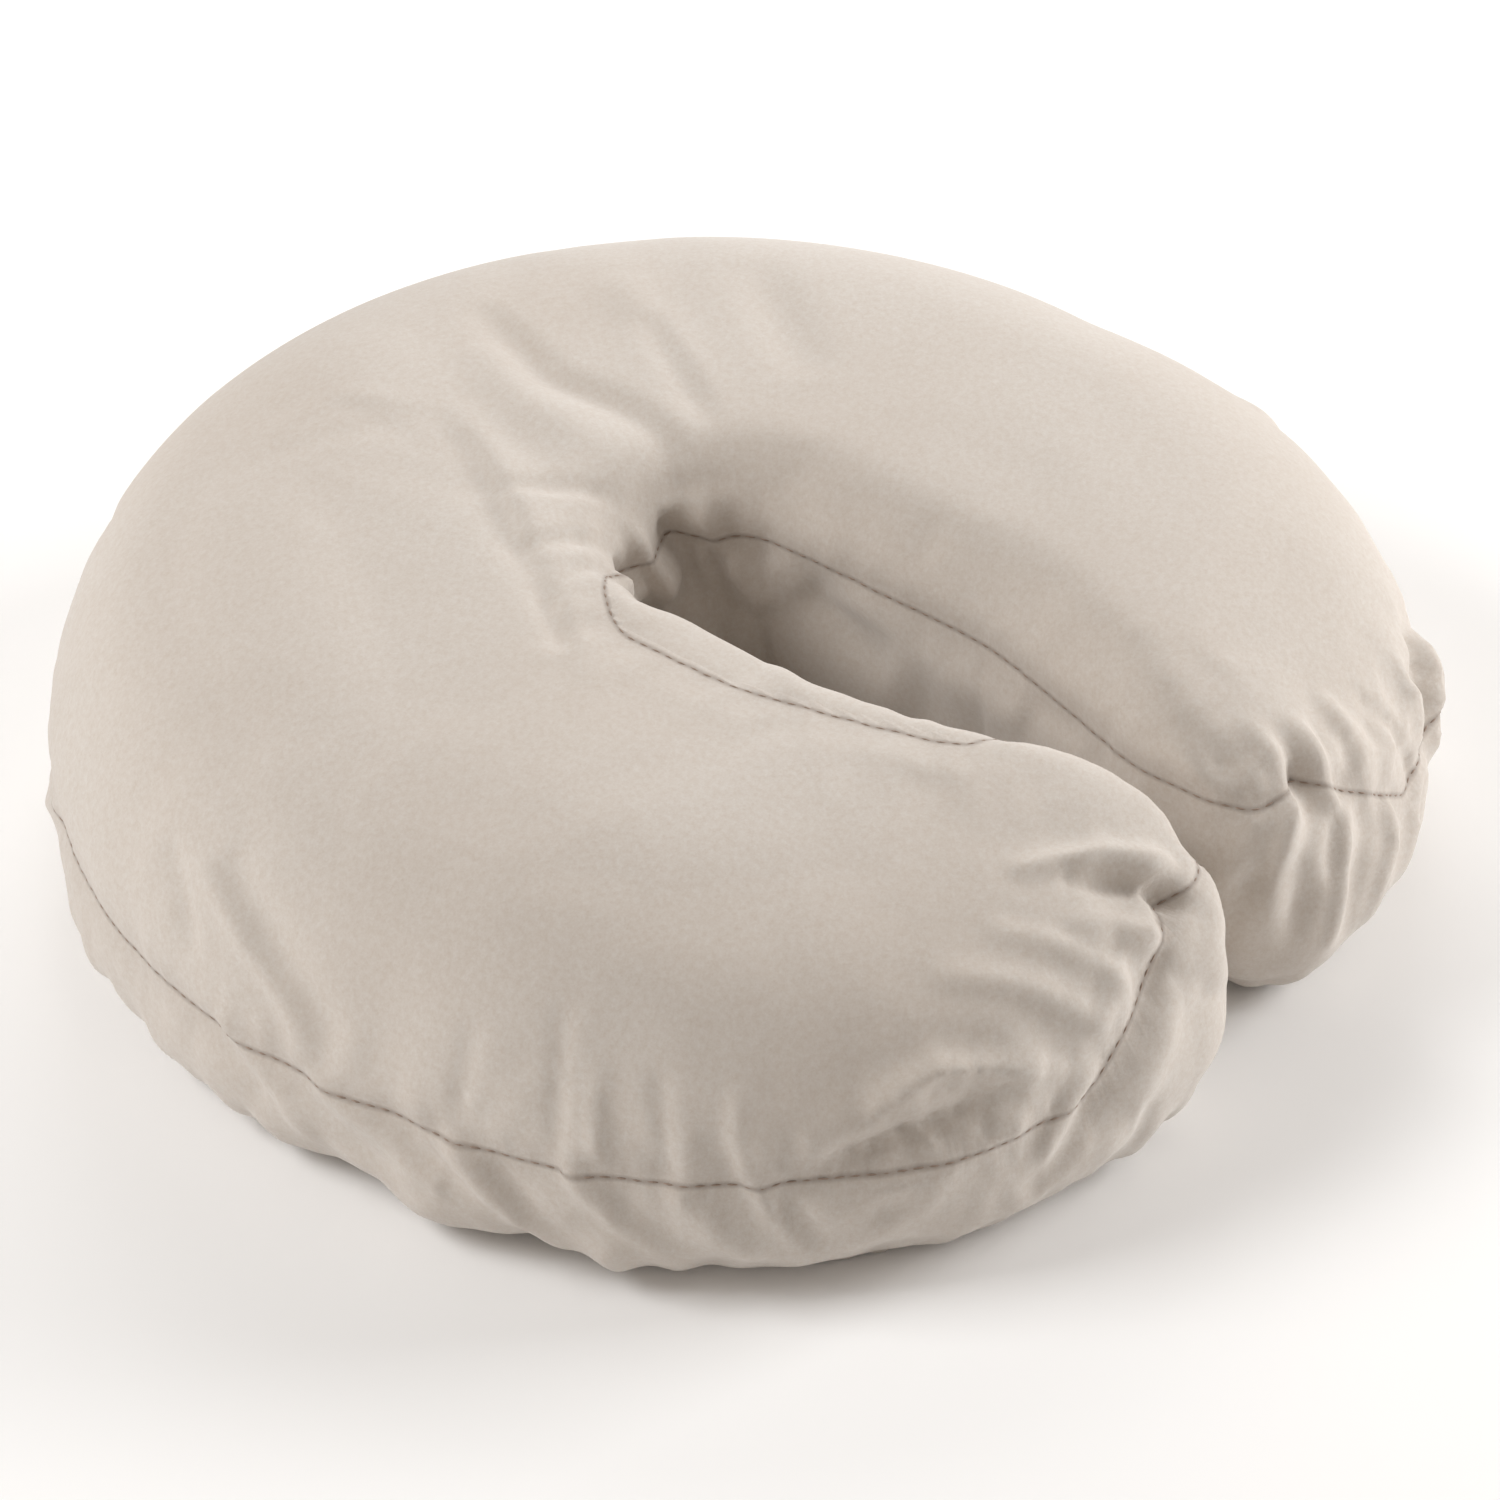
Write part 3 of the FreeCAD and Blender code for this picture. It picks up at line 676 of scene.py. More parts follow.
FAR_TIP_FOLDS = (
    Fold(((10, -122, 78), (13, -130, 70), (12, -138, 62)), -2.0, 3.6, taper=Taper.START),
    Fold(((24, -128, 73), (23, -138, 62), (20, -143, 56)), 2.6, 3.2, Steep.RIGHT, Taper.START),
    Fold(((30, -131, 70), (29, -141, 59), (28, -146, 53)), -2.4, 2.4, taper=Taper.START),
    Fold(((36, -133, 68), (36, -142, 58), (36, -147, 51)), 2.8, 3.0, Steep.LEFT, Taper.START),
    Fold(((50, -130, 66), (50, -140, 55), (48, -147, 46)), 1.8, 4.0, Steep.RIGHT, Taper.START),
    Fold(((62, -132, 60), (70, -140, 45), (76, -145, 35)), -2.0, 2.6, Steep.LEFT, Taper.START),
    Fold(((84, -128, 54), (83, -138, 42), (81, -144, 34)), 2.2, 2.6, Steep.RIGHT, Taper.START),
    Fold(((92, -130, 48), (86, -138, 40), (81, -144, 34)), -1.8, 2.2, taper=Taper.START),
    Fold(((18, -144, 55), (13, -146, 44), (10, -146, 30)), 2.4, 4.0, Steep.RIGHT, Taper.END),
    Fold(((24, -147, 48), (19, -150, 36), (16, -151, 22)), -2.0, 3.2, taper=Taper.END),
    Fold(((36, -149, 47), (31, -153, 36), (26, -154, 18)), 3.2, 2.6, Steep.RIGHT, Taper.END),
    Fold(((44, -150, 42), (38, -154, 32), (34, -154, 16)), -1.8, 3.2, taper=Taper.END),
    Fold(((56, -151, 39), (48, -154, 28), (42, -153, 12)), 3.0, 2.4, Steep.RIGHT, Taper.END),
    Fold(((78, -147, 32), (68, -151, 22), (60, -150, 10)), 2.2, 3.0, Steep.LEFT, Taper.END),
    Fold(((112, -127, 48), (105, -133, 40), (97, -139, 32), (92, -142, 26)), 4.6, 4.4, Steep.LEFT),
    Fold(((104, -128, 52), (98, -135, 42), (92, -140, 34)), -3.0, 3.0),
)
SLOT_FOLDS = (
    Fold(((-24, -4, 66), (-20, 12, 65), (-8, 20, 64), (6, 21, 64), (18, 14, 64)), 4.0, 7.0, Steep.LEFT),
    Fold(((-21, 10, 80), (-17, 15, 68), (-12, 17, 52)), 3.4, 3.6, Steep.RIGHT, Taper.END),
    Fold(((-24, 2, 78), (-21, 8, 66), (-18, 11, 50)), -3.0, 3.6, taper=Taper.END),
    Fold(((-12, 20, 76), (-6, 21, 66), (-2, 20, 50)), -3.2, 3.4, Steep.LEFT, Taper.END),
    Fold(((-3, 22, 76), (3, 22, 66), (7, 21, 50)), 4.0, 3.8, Steep.RIGHT, Taper.END),
    Fold(((10, 20, 76), (14, 18, 66), (17, 15, 50)), -3.6, 3.2, Steep.LEFT, Taper.END),
    Fold(((16, 16, 76), (21, 11, 64), (23, 5, 50)), 2.6, 3.4, Steep.RIGHT, Taper.END),
    Fold(((25, -8, 60), (25, -20, 52), (25, -34, 48)), -3.0, 7.0),
    Fold(((25, -40, 55), (24, -58, 52), (20, -75, 50)), 2.0, 8.0),
)
CROWN_FOLDS = (
    Fold(((36, 96, 97), (22, 62, 97), (22, 42, 96), (20, 28, 90), (14, 18, 80)), -2.2, 6.0, Steep.LEFT),
    Fold(((22, 84, 97), (8, 60, 97), (6, 42, 95), (4, 26, 84)), 1.4, 7.0),
    Fold(((-1, 74, 97), (-14, 56, 96), (-26, 36, 94), (-40, 20, 93)), 1.2, 6.0, Steep.RIGHT),
    Fold(((-10, 66, 97), (-22, 48, 95), (-36, 30, 94), (-52, 6, 92)), -1.4, 5.0, Steep.LEFT),
    Fold(((-45, 16, 93), (-54, 5, 92), (-62, -5, 91)), -1.6, 3.2, Steep.LEFT),
    Fold(((56, 60, 95), (42, 40, 95), (30, 22, 90)), -1.6, 4.5, Steep.LEFT),
    Fold(((90, 54, 95), (76, 36, 94), (58, 14, 92)), -1.3, 7.0),
    Fold(((66, 76, 96), (50, 52, 95), (36, 32, 93)), 1.0, 6.0),
    Fold(((-24, 44, 95), (-14, 34, 94), (-2, 26, 86)), -1.6, 3.2, Steep.RIGHT),
    Fold(((-42, 28, 93), (-28, 22, 91), (-14, 21, 82)), -1.4, 3.0, Steep.LEFT),
    Fold(((-52, 9, 93), (-38, 12, 92), (-24, 14, 84)), -1.2, 2.4, Steep.LEFT),
    Fold(((-34, 105, 95), (-16, 98, 97), (-6, 76, 97)), 0.5, 4.0, Steep.RIGHT),
    Fold(((-47, 104, 93), (-30, 92, 95), (-12, 77, 96)), -0.4, 4.0, Steep.LEFT),
)
LEFT_FOLDS = (
    Fold(((-141, 48, 66), (-148, 38, 58), (-153, 30, 48)), -1.6, 4.0, Steep.LEFT),
    Fold(((-143, 38, 66), (-151, 20, 58), (-156, 4, 50), (-159, -8, 40)), 1.8, 3.6, Steep.RIGHT),
    Fold(((-141, 30, 68), (-150, 10, 60), (-157, -14, 46)), -1.8, 4.5),
    Fold(((-157, 20, 36), (-160, 4, 26), (-158, -6, 16)), 2.0, 3.6, Steep.RIGHT, Taper.END),
    Fold(((-160, -8, 34), (-160, -28, 27), (-158, -46, 18)), 2.8, 3.2, Steep.RIGHT, Taper.END),
    Fold(((-160, 0, 30), (-160, -18, 22), (-158, -34, 12)), -2.0, 3.6),
    Fold(((-160, -24, 34), (-158, -42, 26), (-156, -56, 16)), -1.6, 3.0),
    Fold(((-158, -44, 32), (-157, -54, 24), (-155, -64, 14)), 3.4, 2.4, Steep.RIGHT, Taper.END),
    Fold(((-157, -52, 32), (-155, -61, 22), (-152, -71, 12)), -2.0, 2.8),
    Fold(((-152, -71, 33), (-149, -80, 24), (-145, -90, 14)), 2.8, 2.8, Steep.RIGHT, Taper.END),
    Fold(((-150, -78, 33), (-146, -88, 24), (-141, -97, 14)), -1.6, 3.2),
    Fold(((-140, -92, 31), (-137, -99, 22), (-132, -108, 12)), 1.8, 3.4, taper=Taper.END),
    Fold(((-130, -110, 31), (-127, -114, 24), (-124, -118, 16)), -3.0, 2.4, Steep.LEFT),
    Fold(((-133, -106, 33), (-130, -112, 24), (-128, -116, 14)), 2.6, 2.8, Steep.RIGHT, Taper.END),
    Fold(((-148, -44, 61), (-153, -45, 52), (-157, -45, 41)), -1.2, 2.2, Steep.LEFT, Taper.START),
    Fold(((-138, -61, 68), (-147, -65, 55), (-152, -68, 42)), -1.1, 2.4, Steep.LEFT, Taper.START),
    Fold(((-144, -72, 60), (-148, -74, 50), (-150, -76, 40)), 1.1, 2.2, Steep.RIGHT, Taper.START),
    Fold(((-138, -84, 60), (-142, -88, 48), (-143, -90, 38)), -1.2, 2.4, Steep.RIGHT, Taper.START),
    Fold(((-128, -98, 56), (-133, -101, 46), (-134, -104, 37)), 1.4, 2.4, Steep.RIGHT, Taper.START),
)
BACK_FOLDS = (
    Fold(((159, -20, 34), (159, -36, 26), (157, -50, 16)), 2.0, 3.6, Steep.LEFT, Taper.END),
    Fold(((155, 40, 36), (158, 22, 27), (158, 6, 16)), 1.8, 3.8, Steep.LEFT, Taper.END),
    Fold(((149, -78, 36), (146, -88, 26), (141, -98, 14)), 2.4, 3.2, Steep.RIGHT, Taper.END),
    Fold(((140, 30, 70), (150, 12, 60), (157, -12, 47)), -1.5, 5.0),
    Fold(((134, -60, 70), (144, -62, 58), (151, -66, 44)), 1.5, 4.0),
    Fold(((112, 106, 36), (124, 96, 26), (132, 86, 15)), 1.8, 3.8, Steep.LEFT, Taper.END),
    Fold(((-118, 104, 36), (-108, 114, 26), (-96, 122, 15)), 1.8, 3.8, Steep.RIGHT, Taper.END),
    Fold(((30, 145, 60), (14, 148, 50), (-6, 151, 42)), 1.6, 4.5, Steep.RIGHT),
    Fold(((-60, 130, 66), (-44, 142, 54), (-34, 148, 44)), -1.4, 4.5),
)
ALL_FOLDS = NEAR_TIP_FOLDS + FAR_TIP_FOLDS + SLOT_FOLDS + CROWN_FOLDS + LEFT_FOLDS + BACK_FOLDS


@dataclass
class ClothShaper:
    """Turns the swollen form into sewn cloth: seam, gathers, folds, scallops and tuck-under."""

    valley: float = 0.0016
    valley_width: float = 0.0018
    shoulder: float = 0.0003
    shoulder_place: float = 0.010
    shoulder_width: float = 0.005
    band_valley: float = 0.0006
    band_valley_width: float = 0.003
    scallop: float = 0.0013
    scallop_height: float = 0.007
    scallop_reach: float = 0.010
    lowest: float = 0.0005
    seed: int = 7

    def shape(self, form: bpy.types.Object) -> None:
        """Move the form's points and store its seam coordinates."""
        points = read_points(form)
        start = points.copy()
        normals = read_normals(form)
        gap, station, inner = store_seams(form, points, normals)
        slot = smooth_step(0.075 - np.abs(points[:, 0]), 0.0, 0.020)
        slot *= smooth_step(points[:, 1], -0.135, -0.115)
        lift = -self.valley * (1.0 - 0.5 * slot) * np.exp(-np.abs(gap) / self.valley_width)
        beside = (np.abs(gap) - self.shoulder_place) / self.shoulder_width
        lift += self.shoulder * np.exp(-beside ** 2)
        lift -= self.band_valley * np.exp(-np.abs(inner) / self.band_valley_width) * (gap < 0)
        rng = random.Random(self.seed)
        for zone in TOP_GATHERS + BAND_GATHERS:
            lift += zone.lift(station, gap, rng)
        lift += self._scallops(points, station, gap)
        points += normals * lift[:, None]
        write_points(form, points)
        normals = read_normals(form)
        smooth_normals = spread(normals, read_edges(form), 6)
        smooth_normals /= np.linalg.norm(smooth_normals, axis=1)[:, None]
        for fold in ALL_FOLDS:
            fold.press(points, smooth_normals)
        points = start + spread(points - start, read_edges(form), 1)
        sunk = np.minimum(points[:, 2], 0.0)
        points[:, 2] = np.maximum(points[:, 2], self.lowest + 0.05 * sunk)
        write_points(form, points)
        log.info("cloth shaped: %d points", len(points))

    def _scallops(self, points: np.ndarray, station: np.ndarray, gap: np.ndarray) -> np.ndarray:
        """Waves of the cloth where the bands turn under the cushion."""
        level = (points[:, 2] - self.scallop_height) / self.scallop_reach
        low = np.exp(-level ** 2) * (gap < -0.002)
        wave = Ripple(20, 40, self.seed).at(station)
        small = Ripple(60, 110, self.seed + 1).at(station)
        return self.scallop * low * (0.7 * wave + 0.35 * small)


@dataclass
class SewnShell:
    """Cuts a shaped form along its seams into three sewn pieces with a cloth's thickness."""

    prefix: str
    thickness: float
    outer_return: float
    slot_return: float
    underside: float = 0.005
    tip: float = 0.070
    snap: float = 0.00012
    crumb_faces: int = 60

    def cut(self, form: bpy.types.Object) -> dict[str, bpy.types.Object]:
        """Split the form.

        Args:
            form: Closed mesh with seam_gap and inner_side stored at its points.

        Returns:
            The pieces by the names top_panel, outer_band and inner_band.
        """
        self._cut_line(form, "seam_gap")
        self._cut_line(form, "inner_side")
        mesh = form.data
        gap = read_stored(form, "seam_gap")
        inner = read_stored(form, "inner_side")
        points = read_points(form)
        hole = self._in_opening(points)
        kinds: dict[str, list] = {"top_panel": [], "outer_band": [], "inner_band": []}
        for polygon in mesh.polygons:
            corners = np.array(polygon.vertices)
            if hole[corners].all():
                continue
            if gap[corners].mean() > 0:
                kinds["top_panel"].append(polygon.index)
            elif inner[corners].mean() > 0:
                kinds["inner_band"].append(polygon.index)
            else:
                kinds["outer_band"].append(polygon.index)
        return {name: self._piece(form, name, set(found)) for name, found in kinds.items()}

    def _in_opening(self, points: np.ndarray) -> np.ndarray:
        """Which points lie under the cushion, inside the hem's line."""
        border = OUTLINE.ring(self.outer_return, self.slot_return, self.tip)
        x, y = points[:, 0], points[:, 1]
        inside = np.zeros(len(points), dtype=bool)
        ahead = np.roll(border, -1, axis=0)
        for (x0, y0), (x1, y1) in zip(border, ahead):
            if y0 == y1:
                continue
            crosses = (y0 > y) != (y1 > y)
            inside ^= crosses & (x < (x1 - x0) * (y - y0) / (y1 - y0) + x0)
        return inside & (points[:, 2] < self.underside)

    def _cut_line(self, form: bpy.types.Object, name: str) -> None:
        """Add an edge line where a stored number passes through zero."""
        mesh = form.data
        bm = bmesh.new()
        bm.from_mesh(mesh)
        layer = bm.verts.layers.float[name]
        for vert in bm.verts:
            if abs(vert[layer]) < self.snap:
                vert[layer] = 0.0
        crossing = [edge for edge in bm.edges if edge.verts[0][layer] * edge.verts[1][layer] < 0]
        for edge in crossing:
            first, second = edge.verts
            a, b = first[layer], second[layer]
            _, vert = bmesh.utils.edge_split(edge, first, a / (a - b))
            vert[layer] = 0.0
        on_line = {vert for vert in bm.verts if vert[layer] == 0.0}
        touched = [face for face in bm.faces if any(vert in on_line for vert in face.verts)]
        for face in touched:
            hits = [vert for vert in face.verts if vert in on_line]
            if len(hits) == 2 and len(face.verts) > 3:
                first, second = hits
                if not any(second in edge.verts for edge in first.link_edges):
                    bmesh.utils.face_split(face, first, second)
        bm.to_mesh(mesh)
        bm.free()

    def _piece(self, form: bpy.types.Object, name: str, keep: set[int]) -> bpy.types.Object:
        """Copy some of the form's faces and give them thickness."""
        mesh = form.data.copy()
        piece = add_object(self.prefix + name, mesh)
        bm = bmesh.new()
        bm.from_mesh(mesh)
        bm.faces.ensure_lookup_table()
        others = [face for face in bm.faces if face.index not in keep]
        bmesh.ops.delete(bm, geom=others, context="FACES")
        bm.to_mesh(mesh)
        bm.free()
        self._drop_crumbs(piece)
        area = sum(polygon.area for polygon in mesh.polygons)
        apply(piece, "SOLIDIFY", thickness=self.thickness, offset=-1.0, use_rim=True)
        shade_smooth(piece, 60.0)
        log.info("%s: area %.4f m2, %d faces", piece.name, area, len(mesh.polygons))
        return piece

    def _drop_crumbs(self, piece: bpy.types.Object) -> None:
        """Delete loose islands of a few faces left by the cut."""
        bm = bmesh.new()
        bm.from_mesh(piece.data)
        seen: set = set()
        crumbs = []
        for start in bm.faces:
            if start in seen:
                continue
            island, stack = [], [start]
            seen.add(start)
            while stack:
                face = stack.pop()
                island.append(face)
                for edge in face.edges:
                    for other in edge.link_faces:
                        if other not in seen:
                            seen.add(other)
                            stack.append(other)
            if len(island) < self.crumb_faces:
                crumbs.extend(island)
        bmesh.ops.delete(bm, geom=crumbs, context="FACES")
        bm.to_mesh(piece.data)
        bm.free()


# ---- stitches and swept pieces ---------------------------------------------------------------
@dataclass(frozen=True)
class Stitch:
    """One stitch of thread: its length, thickness and the gap to the next."""

    length: float = 0.0026
    thickness: float = 0.0005
    gap: float = 0.0009

    def template(self) -> tuple[np.ndarray, list]:
        """A short capsule along X, modelled once.

        Returns:
            Its points and its faces.
        """
        bpy.ops.object.select_all(action="DESELECT")
        bpy.ops.mesh.primitive_uv_sphere_add(segments=6, ring_count=4, radius=self.thickness / 2)
        ball = bpy.context.active_object
        points = read_points(ball)[:, [2, 0, 1]]
        points[:, 0] += np.sign(points[:, 0]) * (self.length - self.thickness) / 2
        points[:, 2] -= 0.4 * self.thickness * (2 * points[:, 0] / self.length) ** 2
        faces = [tuple(polygon.vertices) for polygon in ball.data.polygons]
        bpy.data.objects.remove(ball)
        return points, faces

    def row(self, path: np.ndarray, normals: np.ndarray) -> tuple[np.ndarray, list]:
        """Stitches along a path.

        Args:
            path: Points of the path.
            normals: Direction out of the cloth at each point.

        Returns:
            Points and faces of every stitch.
        """
        body, faces = self.template()
        along = lengths_along(path)
        pitch = self.length + self.gap
        all_points, all_faces = [], []
        for number in range(int(along[-1] / pitch)):
            places = np.array([number * pitch, number * pitch + self.length])
            ends = np.stack([np.interp(places, along, path[:, k]) for k in range(3)], axis=1)
            middle = ends.mean(axis=0)
            out = np.array([np.interp(places.mean(), along, normals[:, k]) for k in range(3)])
            forward = ends[1] - ends[0]
            if np.linalg.norm(forward) < self.length * 0.3:
                continue
            forward /= np.linalg.norm(forward)
            side = np.cross(out, forward)
            side /= np.linalg.norm(side) + 1e-9
            up = np.cross(forward, side)
            base = len(all_points) * len(body)
            all_points.append(middle + body @ np.stack([forward, side, up]))
            all_faces.extend(tuple(base + v for v in face) for face in faces)
        return np.concatenate(all_points), all_faces


def thread_object(name: str, rows: list[tuple[np.ndarray, np.ndarray]]) -> bpy.types.Object:
    """Join rows of stitches, each a path and its normals, into one object."""
    stitch = Stitch()
    points, faces, count = [], [], 0
    for path, normals in rows:
        more, more_faces = stitch.row(path, normals)
        points.append(more)
        faces.extend(tuple(count + v for v in face) for face in more_faces)
        count += len(more)
    obj = mesh_object(name, np.concatenate(points), faces)
    shade_smooth(obj, 80.0)
    log.info("%s: %d stitch points", name, count)
    return obj


def seam_chain(form: bpy.types.Object, name: str) -> tuple[np.ndarray, np.ndarray]:
    """Longest line of edges where a stored number is zero.

    Args:
        form: The cut form.
        name: The stored number.

    Returns:
        The line's points in order, and its normals.
    """
    values = read_stored(form, name)
    links: dict[int, list[int]] = {}
    for a, b in read_edges(form):
        if values[a] == 0.0 and values[b] == 0.0:
            links.setdefault(int(a), []).append(int(b))
            links.setdefault(int(b), []).append(int(a))
    best: list[int] = []
    left = set(links)
    while left:
        chain = [left.pop()]
        while True:
            following = [v for v in links[chain[-1]] if v in left]
            if not following:
                break
            chain.append(following[0])
            left.discard(following[0])
        if len(chain) > len(best):
            best = chain
    points, normals = read_points(form), read_normals(form)
    return points[best], normals[best]


@dataclass(frozen=True)
class RingSweep:
    """A tube swept round the ring under the cushion, with a rounded flat section."""

    width: float
    height: float
    middle_z: float
    outer_inset: float
    slot_inset: float
    sides: int = 18
    squareness: float = 0.5
    lowest: float = 0.0001

    def build(self, name: str, ruffle: float, waves: tuple[int, int], seed: int,
              every: int = 2) -> bpy.types.Object:
        """Sweep the tube.

        Args:
            name: The new object's name.
            ruffle: Height of its gathers.
            waves: Fewest and most gathers round the ring.
            seed: Seed of the gathers.
            every: Take every so many points of the ring.

        Returns:
            The closed tube.
        """
        path = OUTLINE.ring(self.outer_inset, self.slot_inset)[::every]
        count = len(path)
        ahead = np.roll(path, -1, axis=0) - np.roll(path, 1, axis=0)
        ahead /= np.linalg.norm(ahead, axis=1)[:, None]
        out = np.stack([-ahead[:, 1], ahead[:, 0]], axis=1)
        station = np.arange(count) * OUTLINE.length / count
        wave = Ripple(*waves, seed=seed).at(station)
        drift = Ripple(*waves, seed=seed + 5).at(station)
        turns = np.linspace(0, 2 * math.pi, self.sides, endpoint=False)
        flat = np.sign(np.cos(turns)) * np.abs(np.cos(turns)) ** self.squareness
        tall = np.sign(np.sin(turns)) * np.abs(np.sin(turns)) ** self.squareness
        points = np.zeros((count, self.sides, 3))
        half = self.width / 2
        for k in range(self.sides):
            shift = flat[k] * half * (1 + 0.4 * ruffle / half * drift)
            points[:, k, :2] = path + out * shift[:, None]
            rise = tall[k] * (self.height / 2)
            points[:, k, 2] = self.middle_z + rise + ruffle * wave * abs(flat[k]) ** 0.5
        points[:, :, 2] = np.maximum(points[:, :, 2], self.lowest)
        faces = []
        for i in range(count):
            j = (i + 1) % count
            for k in range(self.sides):
                m = (k + 1) % self.sides
                here, there = i * self.sides, j * self.sides
                faces.append((here + k, there + k, there + m, here + m))
        obj = mesh_object(name, points.reshape(-1, 3), faces)
        shade_smooth(obj, 60.0)
        return obj


# ---- materials -------------------------------------------------------------------------------
def colour(red: int, green: int, blue: int) -> tuple[float, float, float, float]:
    """A colour written as on a swatch, as the shader's linear values."""
    channels = [value / 255 for value in (red, green, blue)]
    linear = [c / 12.92 if c <= 0.04045 else ((c + 0.055) / 1.055) ** 2.4 for c in channels]
    return (*linear, 1.0)


@dataclass
class Graph:
    """A node tree with short calls to add nodes and join them."""

    tree: bpy.types.NodeTree

    def add(self, kind: str, inputs: dict | None = None, **settings: object) -> bpy.types.Node:
        """Add a node.

        Args:
            kind: Blender's node type, without its prefix.
            inputs: Values or sockets for its inputs, by name or number.
            settings: Values for its properties.

        Returns:
            The node.
        """
        node = self.tree.nodes.new("ShaderNode" + kind)
        for name, value in settings.items():
            setattr(node, name, value)
        self.fill(node, inputs or {})
        return node

    def group(self, tree: bpy.types.NodeTree, inputs: dict) -> bpy.types.Node:
        """Place a shared effect."""
        return self.add("Group", inputs, node_tree=tree)

    def fill(self, node: bpy.types.Node, inputs: dict) -> None:
        """Link the inputs that come from sockets and set the others."""
        for name, value in inputs.items():
            if isinstance(value, bpy.types.NodeSocket):
                self.tree.links.new(value, node.inputs[name])
            else:
                node.inputs[name].default_value = value

    def math(self, operation: str, first: object, second: object = 0.0,
             clamp: bool = False) -> bpy.types.NodeSocket:
        """A Math node's result."""
        return self.add("Math", {0: first, 1: second}, operation=operation, use_clamp=clamp).outputs[0]

    def mix(self, share: object, first: object, second: object) -> bpy.types.NodeSocket:
        """A colour mixed from two."""
        return self.add("Mix", {0: share, 6: first, 7: second}, data_type="RGBA").outputs[2]

    def noise(self, vector: object, scale: object, detail: float = 4.0,
              rough: float = 0.55) -> bpy.types.NodeSocket:
        """A noise texture's value."""
        inputs = {"Vector": vector, "Scale": scale, "Detail": detail, "Roughness": rough}
        return self.add("TexNoise", inputs).outputs["Fac"]

    def ramp(self, value: object, low: float, high: float) -> bpy.types.NodeSocket:
        """A value stretched from low..high to 0..1."""
        return self.add("MapRange", {0: value, 1: low, 2: high, 3: 0.0, 4: 1.0}).outputs[0]


FLOAT = "NodeSocketFloat"
ORIGIN = (0.0, 0.0, 0.0)
PALE = colour(200, 185, 172)


def new_group(name: str, inputs: dict[str, object], outputs: dict[str, str]) -> tuple:
    """Start a shader node group.

    Args:
        name: The group's name.
        inputs: Default value of each input by name; a 4-tuple is a colour.
        outputs: Socket type of each output by name.

    Returns:
        The group's Graph, its given values and its output node.
    """
    tree = bpy.data.node_groups.new(name, "ShaderNodeTree")
    for label, value in inputs.items():
        kind = FLOAT
        if isinstance(value, tuple):
            kind = "NodeSocketColor" if len(value) == 4 else "NodeSocketVector"
        tree.interface.new_socket(label, in_out="INPUT", socket_type=kind).default_value = value
    for label, kind in outputs.items():
        tree.interface.new_socket(label, in_out="OUTPUT", socket_type=kind)
    given = tree.nodes.new("NodeGroupInput")
    return Graph(tree), given.outputs, tree.nodes.new("NodeGroupOutput")


FINISH_OUTPUTS = {"Colour": "NodeSocketColor", "Roughness": FLOAT, "Height": FLOAT}


